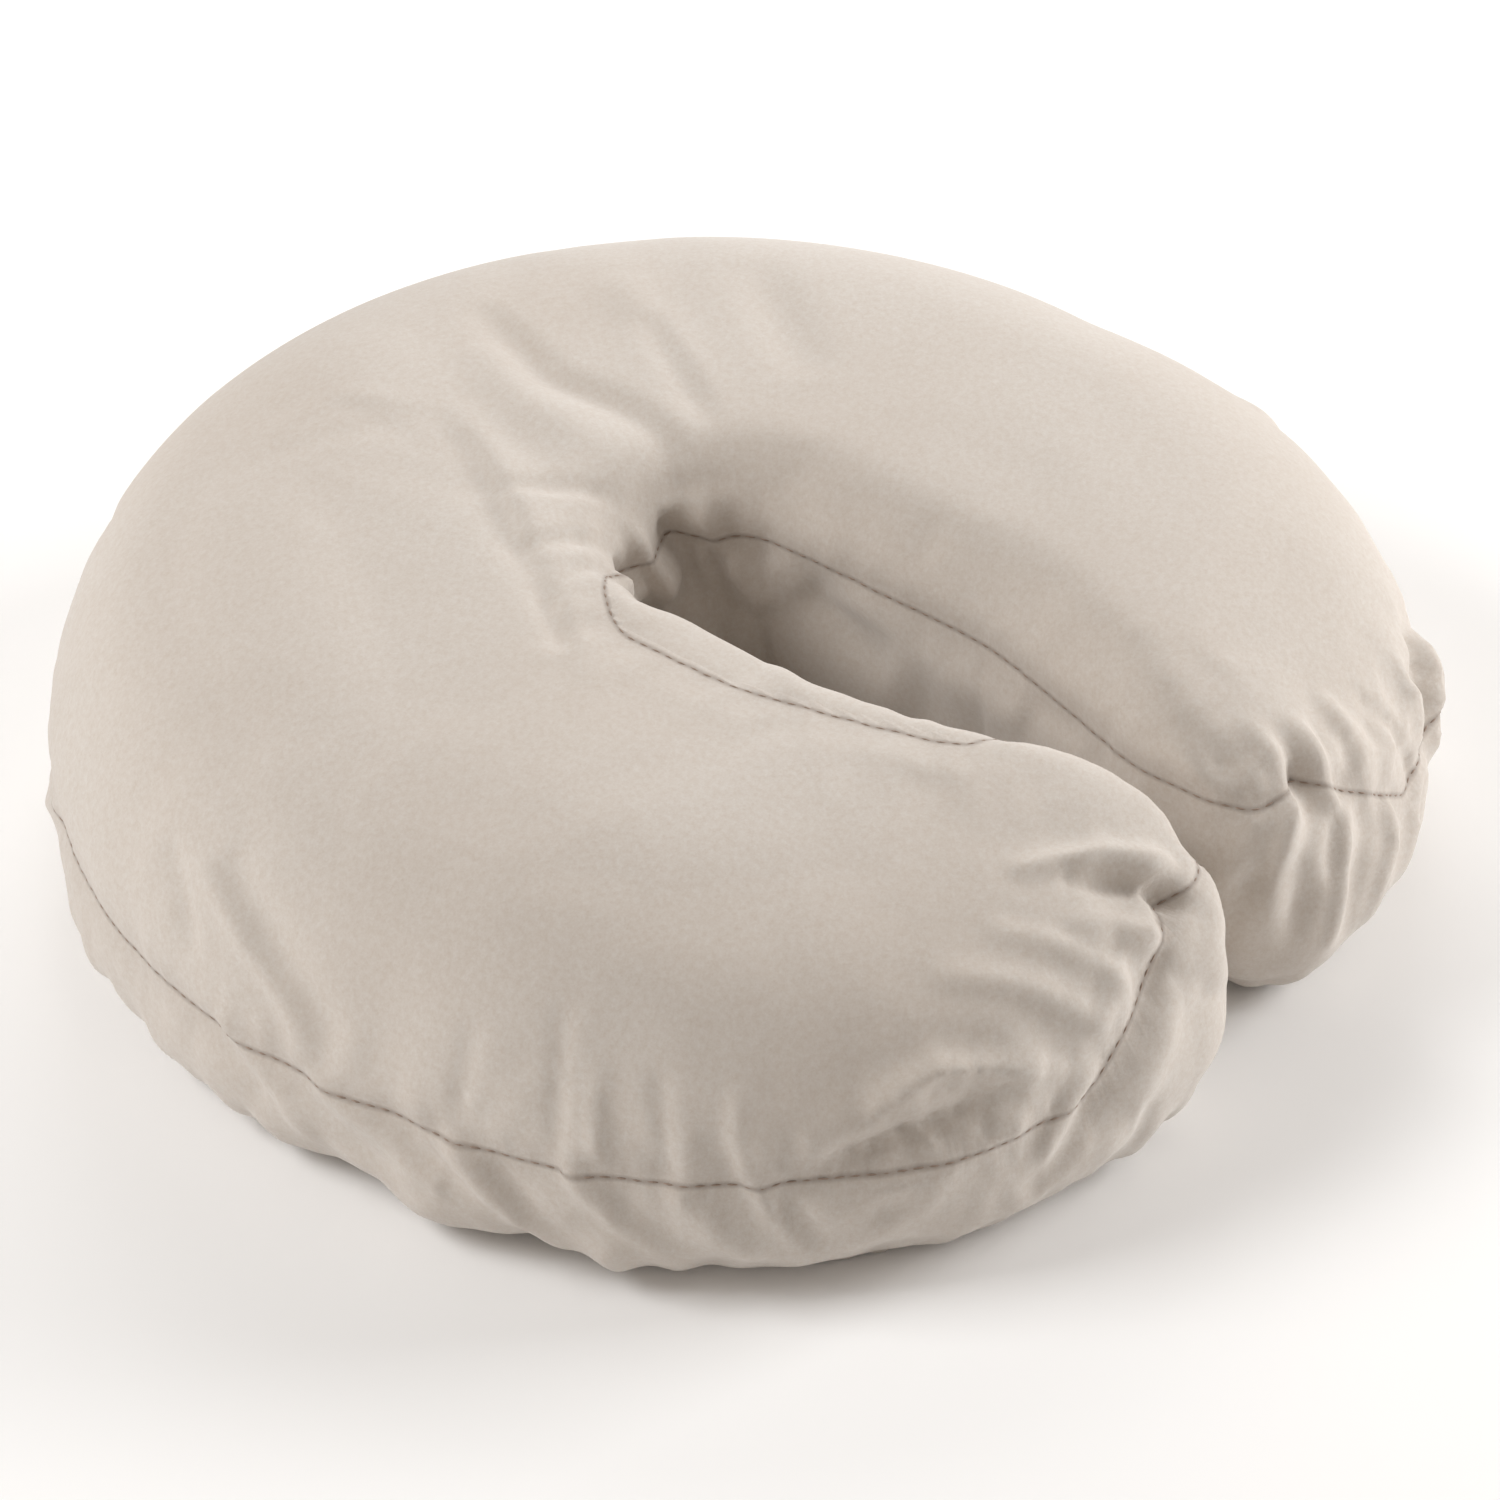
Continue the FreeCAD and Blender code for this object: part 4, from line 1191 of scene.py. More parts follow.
class Effects:
    """The shader node groups that several finishes share."""

    def __init__(self) -> None:
        """Build every group once."""
        self.weave = self._weave()
        self.mottle = self._mottle()
        self.cells = self._cells()
        self.seam_shade = self._seam_shade()
        self.rub = self._rub()

    def _weave(self) -> bpy.types.NodeTree:
        """Woven yarns with a brushed nap."""
        inputs = {"Vector": ORIGIN, "Base": PALE, "Dark": colour(160, 140, 125),
                  "Yarns": 2600.0, "Nap": 0.5, "Rough": 0.85}
        g, given, out = new_group("woven_nap", inputs, FINISH_OUTPUTS)
        vector = given["Vector"]
        bands = {"Vector": vector, "Scale": g.math("MULTIPLY", given["Yarns"], 0.16),
                 "Distortion": 1.6, "Detail": 2.0, "Detail Scale": 2.0}
        warp = g.add("TexWave", bands, bands_direction="DIAGONAL").outputs["Fac"]
        weft = g.add("TexWave", bands, bands_direction="Z").outputs["Fac"]
        yarns = g.math("MULTIPLY", warp, weft)
        fine = g.noise(vector, given["Yarns"], 5.0, 0.7)
        fuzz = g.noise(vector, g.math("MULTIPLY", given["Yarns"], 0.35), 3.0, 0.6)
        nap = g.math("MULTIPLY", g.math("ADD", fine, fuzz), 0.5)
        share = g.math("MULTIPLY", g.ramp(nap, 0.36, 0.66), given["Nap"])
        shade = g.mix(share, given["Base"], given["Dark"])
        rough = g.math("ADD", given["Rough"], g.math("MULTIPLY", fuzz, 0.1), clamp=True)
        height = g.math("ADD", g.math("MULTIPLY", yarns, 0.12), g.math("MULTIPLY", nap, 0.9))
        g.fill(out, {"Colour": shade, "Roughness": rough, "Height": height})
        return g.tree

    def _mottle(self) -> bpy.types.NodeTree:
        """Slow, soft changes of shade over a surface."""
        inputs = {"Vector": ORIGIN, "Base": PALE, "Other": colour(190, 172, 158),
                  "Scale": 18.0, "Strength": 0.5}
        g, given, out = new_group("mottle", inputs, {"Colour": "NodeSocketColor"})
        slow = g.noise(given["Vector"], given["Scale"], 3.0, 0.5)
        share = g.math("MULTIPLY", g.ramp(slow, 0.35, 0.68), given["Strength"])
        g.fill(out, {"Colour": g.mix(share, given["Base"], given["Other"])})
        return g.tree

    def _cells(self) -> bpy.types.NodeTree:
        """Cells with sunk or raised walls, for pebbled vinyl and for foam pores."""
        inputs = {"Vector": ORIGIN, "Base": colour(90, 90, 90), "Deep": colour(40, 40, 40),
                  "Scale": 900.0, "Depth": 0.6, "Rough": 0.5}
        g, given, out = new_group("cells", inputs, FINISH_OUTPUTS)
        wobble = g.noise(given["Vector"], g.math("MULTIPLY", given["Scale"], 0.7), 2.0)
        cell = g.add("TexVoronoi", {"Vector": given["Vector"], "Scale": given["Scale"]})
        deep = g.math("MULTIPLY", g.ramp(cell.outputs["Distance"], 0.15, 0.6), given["Depth"])
        shade = g.mix(deep, given["Base"], given["Deep"])
        rough = g.math("ADD", given["Rough"], g.math("MULTIPLY", wobble, 0.18), clamp=True)
        height = g.math("ADD", g.math("SUBTRACT", 1.0, deep), g.math("MULTIPLY", wobble, 0.4))
        g.fill(out, {"Colour": shade, "Roughness": rough, "Height": height})
        return g.tree

    def _seam_shade(self) -> bpy.types.NodeTree:
        """Painted shade along a seam, and the fine puckers that run away from it."""
        inputs = {"Gap": 0.0, "Run": 0.0, "Base": PALE, "Shade": colour(120, 100, 88),
                  "Strength": 0.6}
        outputs = {"Colour": "NodeSocketColor", "Puckers": FLOAT}
        g, given, out = new_group("seam_shade", inputs, outputs)
        away = g.math("ABSOLUTE", given["Gap"])
        # painted shade: a dark line on the seam and a soft dark band up to 8 mm either side of it
        line = g.math("SUBTRACT", 1.0, g.ramp(away, 0.0002, 0.0011), clamp=True)
        soft = g.math("SUBTRACT", 1.0, g.ramp(away, 0.0005, 0.0080), clamp=True)
        both = g.math("ADD", g.math("MULTIPLY", line, 0.75), g.math("MULTIPLY", soft, 0.18))
        share = g.math("MULTIPLY", both, given["Strength"])
        shade = g.mix(share, given["Base"], given["Shade"])
        place = g.add("CombineXYZ", {"X": given["Run"], "Y": g.math("MULTIPLY", given["Gap"], 0.12)})
        ridges = g.noise(place.outputs[0], 300.0, 2.0, 0.5)
        fade = g.math("SUBTRACT", 1.0, g.ramp(away, 0.001, 0.009), clamp=True)
        g.fill(out, {"Colour": shade, "Puckers": g.math("MULTIPLY", ridges, fade)})
        return g.tree

    def _rub(self) -> bpy.types.NodeTree:
        """Handling marks: fine scratches and paler rubbed spots."""
        inputs = {"Vector": ORIGIN, "Base": colour(180, 180, 182), "Rubbed": colour(220, 220, 222),
                  "Rough": 0.3, "Amount": 0.5}
        g, given, out = new_group("rub", inputs, FINISH_OUTPUTS)
        stretch = g.add("Mapping", {"Vector": given["Vector"], "Scale": (1.0, 9.0, 1.0)})
        scratch = g.noise(stretch.outputs[0], 1500.0, 6.0, 0.75)
        spots = g.noise(given["Vector"], 260.0, 3.0)
        share = g.math("MULTIPLY", g.ramp(spots, 0.45, 0.7), given["Amount"])
        shade = g.mix(share, given["Base"], given["Rubbed"])
        rough = g.math("ADD", given["Rough"], g.math("MULTIPLY", scratch, 0.25), clamp=True)
        g.fill(out, {"Colour": shade, "Roughness": rough, "Height": scratch})
        return g.tree


@dataclass(frozen=True)
class Finish:
    """What every finish shares: a name, its colours, and how deep its relief is in metres."""

    name: str
    base: tuple
    dark: tuple
    relief: float = 0.0002
    bump: float = 0.5

    def start(self) -> tuple[bpy.types.Material, Graph, bpy.types.Node, bpy.types.NodeSocket]:
        """A new material, its graph, its shader and its Object coordinates."""
        material = bpy.data.materials.new(self.name)
        material.use_nodes = True
        graph = Graph(material.node_tree)
        shader = material.node_tree.nodes["Principled BSDF"]
        return material, graph, shader, graph.add("TexCoord").outputs["Object"]

    def finish(self, graph: Graph, shader: bpy.types.Node, shade: bpy.types.NodeSocket,
               rough: bpy.types.NodeSocket, height: bpy.types.NodeSocket) -> None:
        """Feed the shader's colour, roughness and relief."""
        bump = graph.add("Bump", {"Strength": self.bump, "Distance": self.relief, "Height": height})
        graph.fill(shader, {"Base Color": shade, "Roughness": rough, "Normal": bump.outputs[0]})


@dataclass(frozen=True)
class BrushedCotton(Finish):
    """Brushed woven cotton, with painted shade along its seams and fine puckers along them."""

    yarns: float = 1900.0
    nap: float = 0.55
    sheen: float = 0.25
    seams: bool = True

    def make(self, effects: Effects) -> bpy.types.Material:
        """Build the material."""
        material, g, shader, place = self.start()
        woven = g.group(effects.weave, {"Vector": place, "Base": self.base, "Dark": self.dark,
                                        "Yarns": self.yarns, "Nap": self.nap, "Rough": 0.86})
        soft = g.group(effects.mottle, {"Vector": place, "Base": woven.outputs["Colour"],
                                        "Other": self.dark, "Scale": 14.0, "Strength": 0.16})
        shade, height = soft.outputs["Colour"], woven.outputs["Height"]
        if self.seams:
            gap = g.add("Attribute", attribute_name="seam_gap").outputs["Fac"]
            run = g.add("Attribute", attribute_name="seam_run").outputs["Fac"]
            # painted shade along the seams, darkening the cloth towards the Shade colour
            line = g.group(effects.seam_shade, {"Gap": gap, "Run": run, "Base": shade,
                                                "Shade": colour(104, 86, 74), "Strength": 0.5})
            shade = line.outputs["Colour"]
            puckers = g.math("MULTIPLY", line.outputs["Puckers"], 1.6)
            height = g.math("ADD", g.math("MULTIPLY", height, 0.35), puckers)
        self.finish(g, shader, shade, woven.outputs["Roughness"], height)
        g.fill(shader, {"Sheen Weight": self.sheen, "Sheen Roughness": 0.6, "Specular IOR Level": 0.25})
        return material


@dataclass(frozen=True)
class CellFinish(Finish):
    """Pebbled vinyl or open foam."""

    scale: float = 900.0
    depth: float = 0.6
    rough: float = 0.5
    mottle: float = 0.3

    def make(self, effects: Effects) -> bpy.types.Material:
        """Build the material."""
        material, g, shader, place = self.start()
        cell = g.group(effects.cells, {"Vector": place, "Base": self.base, "Deep": self.dark,
                                       "Scale": self.scale, "Depth": self.depth, "Rough": self.rough})
        soft = g.group(effects.mottle, {"Vector": place, "Base": cell.outputs["Colour"],
                                        "Other": self.dark, "Scale": 22.0, "Strength": self.mottle})
        self.finish(g, shader, soft.outputs["Colour"], cell.outputs["Roughness"], cell.outputs["Height"])
        return material


@dataclass(frozen=True)
class RubbedFinish(Finish):
    """Metal or moulded plastic with handling marks."""

    metallic: float = 0.0
    rough: float = 0.35

    def make(self, effects: Effects) -> bpy.types.Material:
        """Build the material."""
        material, g, shader, place = self.start()
        worn = g.group(effects.rub, {"Vector": place, "Base": self.base, "Rubbed": self.dark,
                                     "Rough": self.rough, "Amount": 0.6})
        self.finish(g, shader, worn.outputs["Colour"], worn.outputs["Roughness"], worn.outputs["Height"])
        shader.inputs["Metallic"].default_value = self.metallic
        return material


@dataclass(frozen=True)
class FloorFinish(Finish):
    """Plain pale studio floor."""

    def make(self, effects: Effects) -> bpy.types.Material:
        """Build the material."""
        material, g, shader, place = self.start()
        soft = g.group(effects.mottle, {"Vector": place, "Base": self.base, "Other": self.dark,
                                        "Scale": 3.0, "Strength": 0.3})
        g.fill(shader, {"Base Color": soft.outputs["Colour"], "Roughness": 0.9})
        return material


class Palette:
    """Every finish of the cushion, built once."""

    def __init__(self) -> None:
        """Build the materials."""
        effects = Effects()
        cotton, shadow = colour(206, 200, 193), colour(184, 168, 153)
        self.cotton = BrushedCotton("brushed_cotton", cotton, shadow, 0.0004, 0.45).make(effects)
        self.hem_cotton = BrushedCotton(
            "hem_cotton", cotton, shadow, 0.0003, 0.5, seams=False).make(effects)
        self.thread = BrushedCotton(
            "seam_thread", colour(158, 139, 124), colour(118, 100, 88), 0.0001, 0.5,
            yarns=6000.0, seams=False).make(effects)
        self.elastic = BrushedCotton(
            "woven_elastic", colour(217, 212, 204), colour(186, 180, 170), 0.0003, 0.6,
            yarns=1800.0, seams=False).make(effects)
        self.vinyl = CellFinish(
            "pebbled_vinyl", colour(199, 186, 168), colour(158, 144, 126), 0.00018, 0.55,
            scale=1100.0, depth=0.5, rough=0.42).make(effects)
        self.firm_foam = CellFinish(
            "firm_foam", colour(204, 199, 179), colour(162, 154, 128), 0.0006, 0.7,
            scale=900.0, depth=0.7, rough=0.9).make(effects)
        self.soft_foam = CellFinish(
            "soft_foam", colour(224, 217, 184), colour(190, 180, 146), 0.0004, 0.6,
            scale=1500.0, depth=0.5, rough=0.9).make(effects)
        self.loops = BrushedCotton(
            "loop_pile", colour(219, 212, 196), colour(176, 166, 148), 0.0008, 0.8,
            yarns=1500.0, nap=0.9, seams=False).make(effects)
        self.tape = BrushedCotton(
            "zip_tape_weave", colour(184, 171, 153), colour(146, 134, 116), 0.0002, 0.6,
            yarns=3400.0, nap=0.6, seams=False).make(effects)
        self.coil = RubbedFinish(
            "nylon_coil", colour(168, 156, 138), colour(194, 184, 168), 0.0001, 0.4,
            rough=0.38).make(effects)
        self.metal = RubbedFinish(
            "zinc_alloy", colour(191, 189, 184), colour(218, 216, 212), 0.00005, 0.4,
            metallic=1.0, rough=0.28).make(effects)
        self.floor = FloorFinish("studio_floor", colour(250, 250, 250), colour(247, 247, 248)).make(effects)


def dress(obj: bpy.types.Object, material: bpy.types.Material) -> None:
    """Give an object one material."""
    obj.data.materials.clear()
    obj.data.materials.append(material)


def join_body(obj: bpy.types.Object, slot: str, *nodes: str, body: str = BODY) -> None:
    """Let a piece ride a body and stand for CAD nodes."""
    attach(obj, body)
    if nodes:
        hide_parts(*nodes)


# ---- sub-assemblies --------------------------------------------------------------------------
@dataclass
class Cover:
    """Fitted cloth cover: top panel, two bands, seam thread, gathered hem and its elastic."""

    palette: Palette
    cloth: float = 0.0009
    hem_width: float = 0.0122
    hem_height: float = 0.0042
    hem_middle: float = 0.00225
    hem_outer: float = 0.029
    hem_slot: float = 0.026
    hem_cloth: float = 0.0007
    opening_outer: float = 0.0245
    opening_slot: float = 0.0215
    opening_tip: float = 0.0745
    elastic_width: float = 0.0088
    elastic_thickness: float = 0.0011

    def build(self, form: bpy.types.Object) -> None:
        """Sew the cover from the swollen form.

        Args:
            form: The swollen form, which is used up.
        """
        ClothShaper().shape(form)
        shell = SewnShell("cover_cloth_", self.cloth, self.opening_outer, self.opening_slot,
                          tip=self.opening_tip)
        pieces = shell.cut(form)
        for name, piece in pieces.items():
            dress(piece, self.palette.cotton)
            join_body(piece, "cover_cloth", "cover_" + name)
        seam = seam_chain(form, "seam_gap")
        thread = thread_object("cover_seam_thread", [seam])
        dress(thread, self.palette.thread)
        join_body(thread, "cover_cloth")
        bpy.data.objects.remove(form)
        path = (self.hem_middle, self.hem_outer, self.hem_slot)
        tunnel = RingSweep(self.hem_width, self.hem_height, *path)
        hem = tunnel.build("cover_gathered_hem", ruffle=0.0007, waves=(110, 170), seed=31)
        apply(hem, "SOLIDIFY", thickness=self.hem_cloth, offset=-1.0)
        dress(hem, self.palette.hem_cotton)
        join_body(hem, "cover_cloth", "cover_hem")
        band = RingSweep(self.elastic_width, self.elastic_thickness, *path, sides=10, squareness=0.35)
        elastic = band.build("hem_elastic_band", ruffle=0.0002, waves=(60, 90), seed=12, every=3)
        dress(elastic, self.palette.elastic)
        join_body(elastic, "elastic", "hem_elastic")


@dataclass
class Casing:
    """Zipped vinyl casing: its top panel, two bands and bottom panel."""

    palette: Palette
    inset: float = 0.0062
    skin: float = 0.0010
    voxel: float = 0.0045
    piping: float = 0.0010
    piping_width: float = 0.002
    groove_place: float = 0.005
    groove_width: float = 0.003
    opening: float = 0.0205
    settle: float = 0.030
    crinkle: float = 0.0006
    panel_stretch: float = 5.0
    panel_voxel: float = 0.0018
    topstitch_offset: float = 0.0085
    sag: float = 0.0002
    sag_wave: float = 0.00015

    def build(self, form: bpy.types.Object) -> None:
        """Make the casing a little inside the form.

        Args:
            form: The smooth form, which is copied.
        """
        shell = add_object("casing_form", form.data.copy())
        points = read_points(shell) - read_normals(shell) * self.inset
        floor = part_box("casing_bottom_panel")[0].z
        points[:, 2] = press_to_floor(points[:, 2], floor, self.settle)
        write_points(shell, points)
        remesh(shell, self.voxel, smooth_rounds=3)
        apply(shell, "SUBSURF", levels=1, render_levels=1)
        points, normals = read_points(shell), read_normals(shell)
        gap, station, _ = store_seams(shell, points, normals)
        ridge = np.exp(-(gap / self.piping_width) ** 2)
        groove = np.exp(-((np.abs(gap) - self.groove_place) / self.groove_width) ** 2)
        lift = self.piping * (ridge - groove)
        lift += self.crinkle * Ripple(30, 70, 3).at(station) * np.exp(-(gap / 0.012) ** 2)
        write_points(shell, points + normals * lift[:, None])
        opened = SewnShell("casing_vinyl_", self.skin, self.opening, self.opening,
                           underside=floor + 0.004)
        pieces = opened.cut(shell)
        for name, piece in pieces.items():
            dress(piece, self.palette.vinyl)
            join_body(piece, "casing_vinyl", "casing_" + name)
        bpy.data.objects.remove(shell)
        self._bottom_panel()

    def _bottom_panel(self) -> None:
        """Bottom panel: evenly meshed, topstitched either side of its zip, and slightly slack."""
        panel = copy_node("casing_bottom_panel", "casing_vinyl_bottom_panel")
        low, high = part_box("casing_bottom_panel")
        middle = (low.z + high.z) / 2
        points = read_points(panel)
        points[:, 2] = middle + (points[:, 2] - middle) * self.panel_stretch
        write_points(panel, points)
        remesh(panel, self.panel_voxel)
        points = read_points(panel)
        points[:, 2] = middle + (points[:, 2] - middle) / self.panel_stretch
        slack = Ripple(9, 22, 5).at(np.hypot(points[:, 0], points[:, 1]) * 3 + points[:, 0] * 2)
        points[:, 2] += self.sag + self.sag_wave * slack
        write_points(panel, points)
        shade_smooth(panel, 50.0)
        dress(panel, self.palette.vinyl)
        join_body(panel, "casing_vinyl", "casing_bottom_panel")
        centre, radius = OUTLINE.crown_y, zip_radius()
        turns = np.radians(np.arange(24.0, 156.0, 0.4))
        level = np.full(len(turns), low.z - 0.0001)
        rows = []
        for r in (radius - self.topstitch_offset, radius + self.topstitch_offset):
            path = np.stack([r * np.cos(turns), centre + r * np.sin(turns), level], 1)
            rows.append((path, np.tile(DOWN, (len(turns), 1))))
        thread = thread_object("casing_zip_topstitch", rows)
        dress(thread, self.palette.coil)
        join_body(thread, "casing_vinyl")


ZIP_TAPE_WIDTH = 0.011


def zip_radius() -> float:
    """Radius of the zip's middle line, from its two tapes."""
    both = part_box("zip_tape_inner")[1].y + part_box("zip_tape_outer")[1].y
    return (both - 2 * OUTLINE.crown_y) / 2 - ZIP_TAPE_WIDTH / 2


@dataclass
class FoamCore:
    """Support foam with comfort foam on it, each a closed piece with softened edges."""

    palette: Palette
    voxel: float = 0.004
    shrink: float = 0.0045
    face_depth: float = 0.003

    def build(self) -> None:
        """Make both foams from their CAD solids."""
        for node, material, fill in (("support_foam", self.palette.firm_foam, 1.0),
                                     ("comfort_foam", self.palette.soft_foam, 0.9)):
            foam = copy_node(node, node + "_pad")
            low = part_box(node)[0].z
            remesh(foam, self.voxel, smooth_rounds=3)
            points, normals = read_points(foam), read_normals(foam)
            flat = normals.copy()
            flat[:, 2] = np.maximum(flat[:, 2], 0.0)
            level = np.abs(normals[:, 2]) > 0.95
            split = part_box("comfort_foam")[0].z
            flat[level & (np.abs(points[:, 2] - split) < self.face_depth)] = 0.0
            points -= flat * self.shrink
            points[:, 2] = np.maximum(points[:, 2], low)
            write_points(foam, points)
            shade_smooth(foam, 50.0)
            dress(foam, material)
            join_body(foam, node, node)


@dataclass
class LoopStrips:
    """Three strips of loop tape sewn under the casing."""

    palette: Palette
    selvedge: float = 0.0022
    pile: float = 0.0004
    grid: float = 0.0009
    hem_lift: float = 0.0006
    bevel: float = 0.0004
    under_depth: float = 0.0003
    path_points: int = 40
    seed: int = 17

    def build(self) -> None:
        """Make each strip over its CAD node."""
        for place in ("crown", "right", "left"):
            self._strip("loop_strip_" + place)

    def _strip(self, node: str) -> None:
        """One strip: a bevelled slab whose underside carries loops, stitched near its edges."""
        low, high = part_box(node)
        size, middle = high - low, (low + high) / 2
        bpy.ops.object.select_all(action="DESELECT")
        bpy.ops.mesh.primitive_cube_add(size=1.0, location=middle)
        strip = bpy.context.active_object
        strip.name = node + "_tape"
        strip.scale = size
        settle_place(strip)
        apply(strip, "BEVEL", width=self.bevel, segments=2)
        bm = bmesh.new()
        bm.from_mesh(strip.data)
        for axis, count in ((0, int(size.x / self.grid)), (1, int(size.y / self.grid))):
            for k in range(1, count):
                place = low.copy()
                place[axis] += size[axis] * k / count
                normal = Vector((0, 0, 0))
                normal[axis] = 1.0
                parts = bm.verts[:] + bm.edges[:] + bm.faces[:]
                bmesh.ops.bisect_plane(bm, geom=parts, plane_co=place, plane_no=normal)
        bm.to_mesh(strip.data)
        bm.free()
        points = read_points(strip)
        rng = np.random.default_rng(self.seed)
        under = points[:, 2] < low.z + self.under_depth
        inside = np.abs(points[:, 0] - middle.x) < size.x / 2 - self.selvedge
        inside &= np.abs(points[:, 1] - middle.y) < size.y / 2 - self.selvedge
        lift = rng.uniform(-1.0, 1.0, len(points)) * self.pile
        points[:, 2] += np.where(under & inside, lift, np.where(under, self.hem_lift, 0.0))
        write_points(strip, points)
        shade_smooth(strip, 30.0)
        dress(strip, self.palette.loops)
        join_body(strip, "loop_tape", node)
        inset = self.selvedge / 2
        x0, x1, y0, y1 = low.x + inset, high.x - inset, low.y + inset, high.y - inset
        corners = np.array([(x0, y0), (x1, y0), (x1, y1), (x0, y1), (x0, y0)])
        share = np.linspace(0, 1, self.path_points)[:, None]
        level = np.full((self.path_points, 1), low.z + 0.0005)
        rows = []
        for start, end in zip(corners[:-1], corners[1:]):
            path = np.concatenate([start + (end - start) * share, level], axis=1)
            rows.append((path, np.tile(DOWN, (self.path_points, 1))))
        thread = thread_object(node + "_stitching", rows)
        dress(thread, self.palette.coil)
        join_body(thread, "loop_tape")


@dataclass
class Zip:
    """Curved zip: two rows of coil with teeth, and better finishes on tapes, stops and slider."""

    palette: Palette
    pitch: float = 0.0015
    start: float = 27.0
    end: float = 153.0
    tooth_length: float = 0.0021
    row_inset: float = 0.0011
    cord_inset: float = 0.0005
    cord_thick: float = 0.00035
    cord_sides: int = 8

    def build(self) -> None:
        """Model the coils and dress the CAD pieces."""
        for side, sign in (("inner", 1.0), ("outer", -1.0)):
            self._coil(side, sign)
        for node in ("zip_tape_inner", "zip_tape_outer"):
            dress(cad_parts[node], self.palette.tape)
        dress(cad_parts["zip_end_tabs"], self.palette.vinyl)
        for node in ("zip_top_stops", "zip_bottom_stop", "zip_slider", "zip_pull"):
            dress(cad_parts[node], self.palette.metal)

    def _tooth(self, node: str, sign: float) -> tuple[np.ndarray, list]:
        """One turn of the coil, lying along the radius, modelled once.

        Args:
            node: CAD node whose row the tooth belongs to.
            sign: +1 if the zip's middle line lies outside the row, -1 if inside.

        Returns:
            Its points about the row's middle, and its faces.
        """
        low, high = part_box(node)
        bpy.ops.object.select_all(action="DESELECT")
        bpy.ops.mesh.primitive_cylinder_add(vertices=8, radius=self.pitch * 0.36,
                                            depth=self.tooth_length)
        tooth = bpy.context.active_object
        bpy.ops.object.mode_set(mode="EDIT")
        bpy.ops.mesh.select_all(action="SELECT")
        bpy.ops.mesh.bevel(offset=0.0002, segments=1)
        bpy.ops.object.mode_set(mode="OBJECT")
        points = read_points(tooth)[:, [2, 0, 1]]
        points[:, 2] *= (high.z - low.z) / (self.pitch * 0.72)
        head = points[:, 0] * sign > 0.0005
        points[head, 1] *= 1.25
        faces = [tuple(polygon.vertices) for polygon in tooth.data.polygons]
        bpy.data.objects.remove(tooth)
        return points, faces

    def _coil(self, side: str, sign: float) -> None:
        """A row of teeth along the zip's arc, with the cord that they wrap."""
        node = "zip_coil_" + side
        low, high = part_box(node)
        centre, middle_z = OUTLINE.crown_y, (low.z + high.z) / 2
        radius = high.y - centre - self.row_inset
        body, faces = self._tooth(node, sign)
        step = self.pitch / radius
        count = int(math.radians(self.end - self.start) / step)
        points, all_faces = [], []
        for number in range(count):
            turn = math.radians(self.start) + (number + 0.5) * step
            out = np.array((math.cos(turn), math.sin(turn), 0.0))
            ahead = np.array((-math.sin(turn), math.cos(turn), 0.0))
            origin = np.array((0.0, centre, middle_z)) + out * radius
            base = number * len(body)
            points.append(origin + body @ np.stack([out, ahead, (0.0, 0.0, 1.0)]))
            all_faces.extend(tuple(base + v for v in face) for face in faces)
        cord, cord_faces = self._cord(radius - sign * self.cord_inset, centre, middle_z)
        base = count * len(body)
        points.append(cord)
        all_faces.extend(tuple(base + v for v in face) for face in cord_faces)
        coil = mesh_object(node + "_teeth", np.concatenate(points), all_faces)
        shade_smooth(coil, 50.0)
        dress(coil, self.palette.coil)
        join_body(coil, "zip_coil", node)
        log.info("%s: %d teeth", coil.name, count)

    def _cord(self, radius: float, centre: float, middle_z: float) -> tuple[np.ndarray, list]:
        """The cord inside a coil, as a closed tube of points and faces."""
        turns = np.radians(np.linspace(self.start, self.end, 130))
        sides, thick = self.cord_sides, self.cord_thick
        points, faces = [], []
        for turn in turns:
            for k in range(sides):
                a = 2 * math.pi * k / sides
                r = radius + thick * math.cos(a)
                z = middle_z + thick * math.sin(a)
                points.append((r * math.cos(turn), centre + r * math.sin(turn), z))
        for i in range(len(turns) - 1):
            for k in range(sides):
                m = (k + 1) % sides
                here, there = i * sides, (i + 1) * sides
                faces.append((here + k, here + m, there + m, there + k))
        last = (len(turns) - 1) * sides
        faces.append(tuple(range(sides)))
        faces.append(tuple(last + k for k in reversed(range(sides))))
        return np.array(points), faces


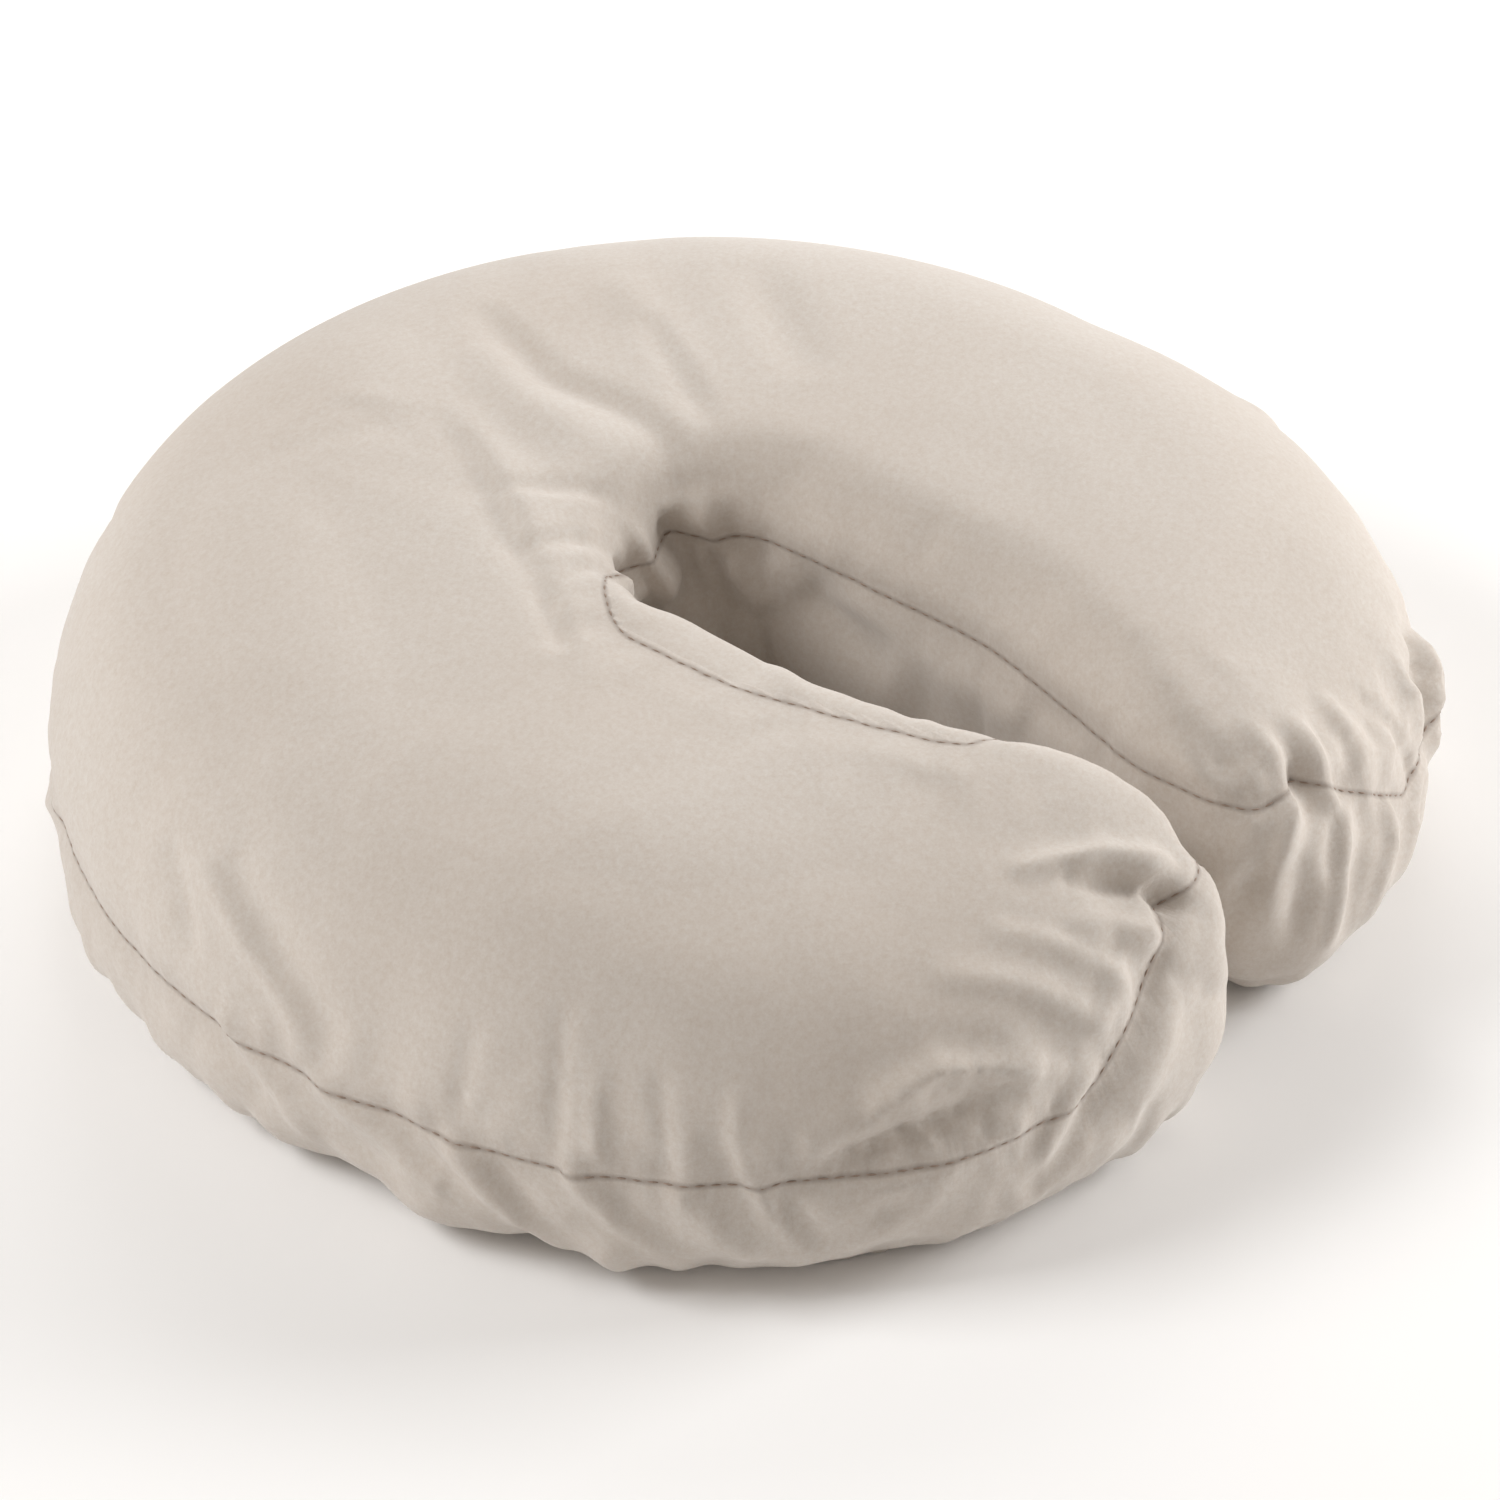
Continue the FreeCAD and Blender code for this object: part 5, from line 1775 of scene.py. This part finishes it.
# ---- studio ----------------------------------------------------------------------------------
@dataclass
class Studio:
    """Pale floor, soft lights and the camera."""

    palette: Palette
    azimuth: float = -54.64
    elevation: float = 36.72
    distance: float = 1.474
    lens: float = 150.6
    target: tuple = (0.0, -0.0088, 0.040)
    aim_right: float = 0.00132
    aim_up: float = -0.00953
    world_strength: float = 0.36

    def build(self) -> None:
        """Place everything that isn't the object."""
        a, e = math.radians(self.azimuth), math.radians(self.elevation)
        back = Vector((math.sin(a) * math.cos(e), -math.cos(a) * math.cos(e), math.sin(e)))
        right = Vector((math.cos(a), math.sin(a), 0.0))
        away = Vector((-back.x, -back.y, 0.0)).normalized()
        rise = Vector((0.0, 0.0, 1.0))
        self._camera(back, right)
        self._floor()
        self._world()
        self._light("left_softbox", -right * 1.15 - away * 0.2 + rise * 1.0, 0.7, 14.0)
        self._light("right_softbox", right * 1.3 + away * 0.35 + rise * 0.5, 0.7, 17.0)
        self._light("back_softbox", away * 1.3 + rise * 0.9, 0.9, 7.0)
        self._light("low_softbox", -away * 1.1 - right * 0.9 + rise * 0.2, 0.8, 1.0)

    def _camera(self, back: Vector, right: Vector) -> None:
        """Camera with no shift and no depth of field."""
        data = bpy.data.cameras.new("camera")
        data.sensor_width = 36.0
        data.lens = self.lens
        camera = add_object("camera", data)
        up = back.cross(right)
        aim = Vector(self.target) + right * self.aim_right + up * self.aim_up
        camera.location = aim + back * self.distance
        camera.rotation_euler = Matrix((right, up, back)).transposed().to_euler()
        bpy.context.scene.camera = camera

    def _floor(self) -> None:
        """A wide plain floor."""
        bpy.ops.object.select_all(action="DESELECT")
        bpy.ops.mesh.primitive_plane_add(size=8.0)
        floor = bpy.context.active_object
        floor.name = "floor"
        dress(floor, self.palette.floor)

    def _world(self) -> None:
        """Even pale light from all round."""
        world = bpy.data.worlds.new("studio")
        world.use_nodes = True
        sky = world.node_tree.nodes["Background"]
        sky.inputs["Color"].default_value = (1.0, 0.92, 0.84, 1.0)
        sky.inputs["Strength"].default_value = self.world_strength
        bpy.context.scene.world = world

    def _light(self, name: str, place: Vector, size: float, power: float) -> None:
        """A square soft light that faces the cushion."""
        data = bpy.data.lights.new(name, "AREA")
        data.size = size
        data.energy = power
        light = add_object(name, data)
        light.location = place
        light.rotation_euler = (place - Vector(self.target)).to_track_quat("Z", "Y").to_euler()


def main() -> None:
    """Build the cushion in order."""
    logging.basicConfig(level=logging.INFO, format="%(name)s: %(message)s")
    palette = Palette()
    form = CushionForm().build()
    Casing(palette).build(form)
    FoamCore(palette).build()
    ClothSettings().swell_form(form)
    apply(form, "SUBSURF", levels=1, render_levels=1)
    Cover(palette).build(form)
    LoopStrips(palette).build()
    Zip(palette).build()
    Studio(palette).build()
    bpy.context.scene.view_settings.view_transform = "Standard"


if __name__ == "__main__":
    main()
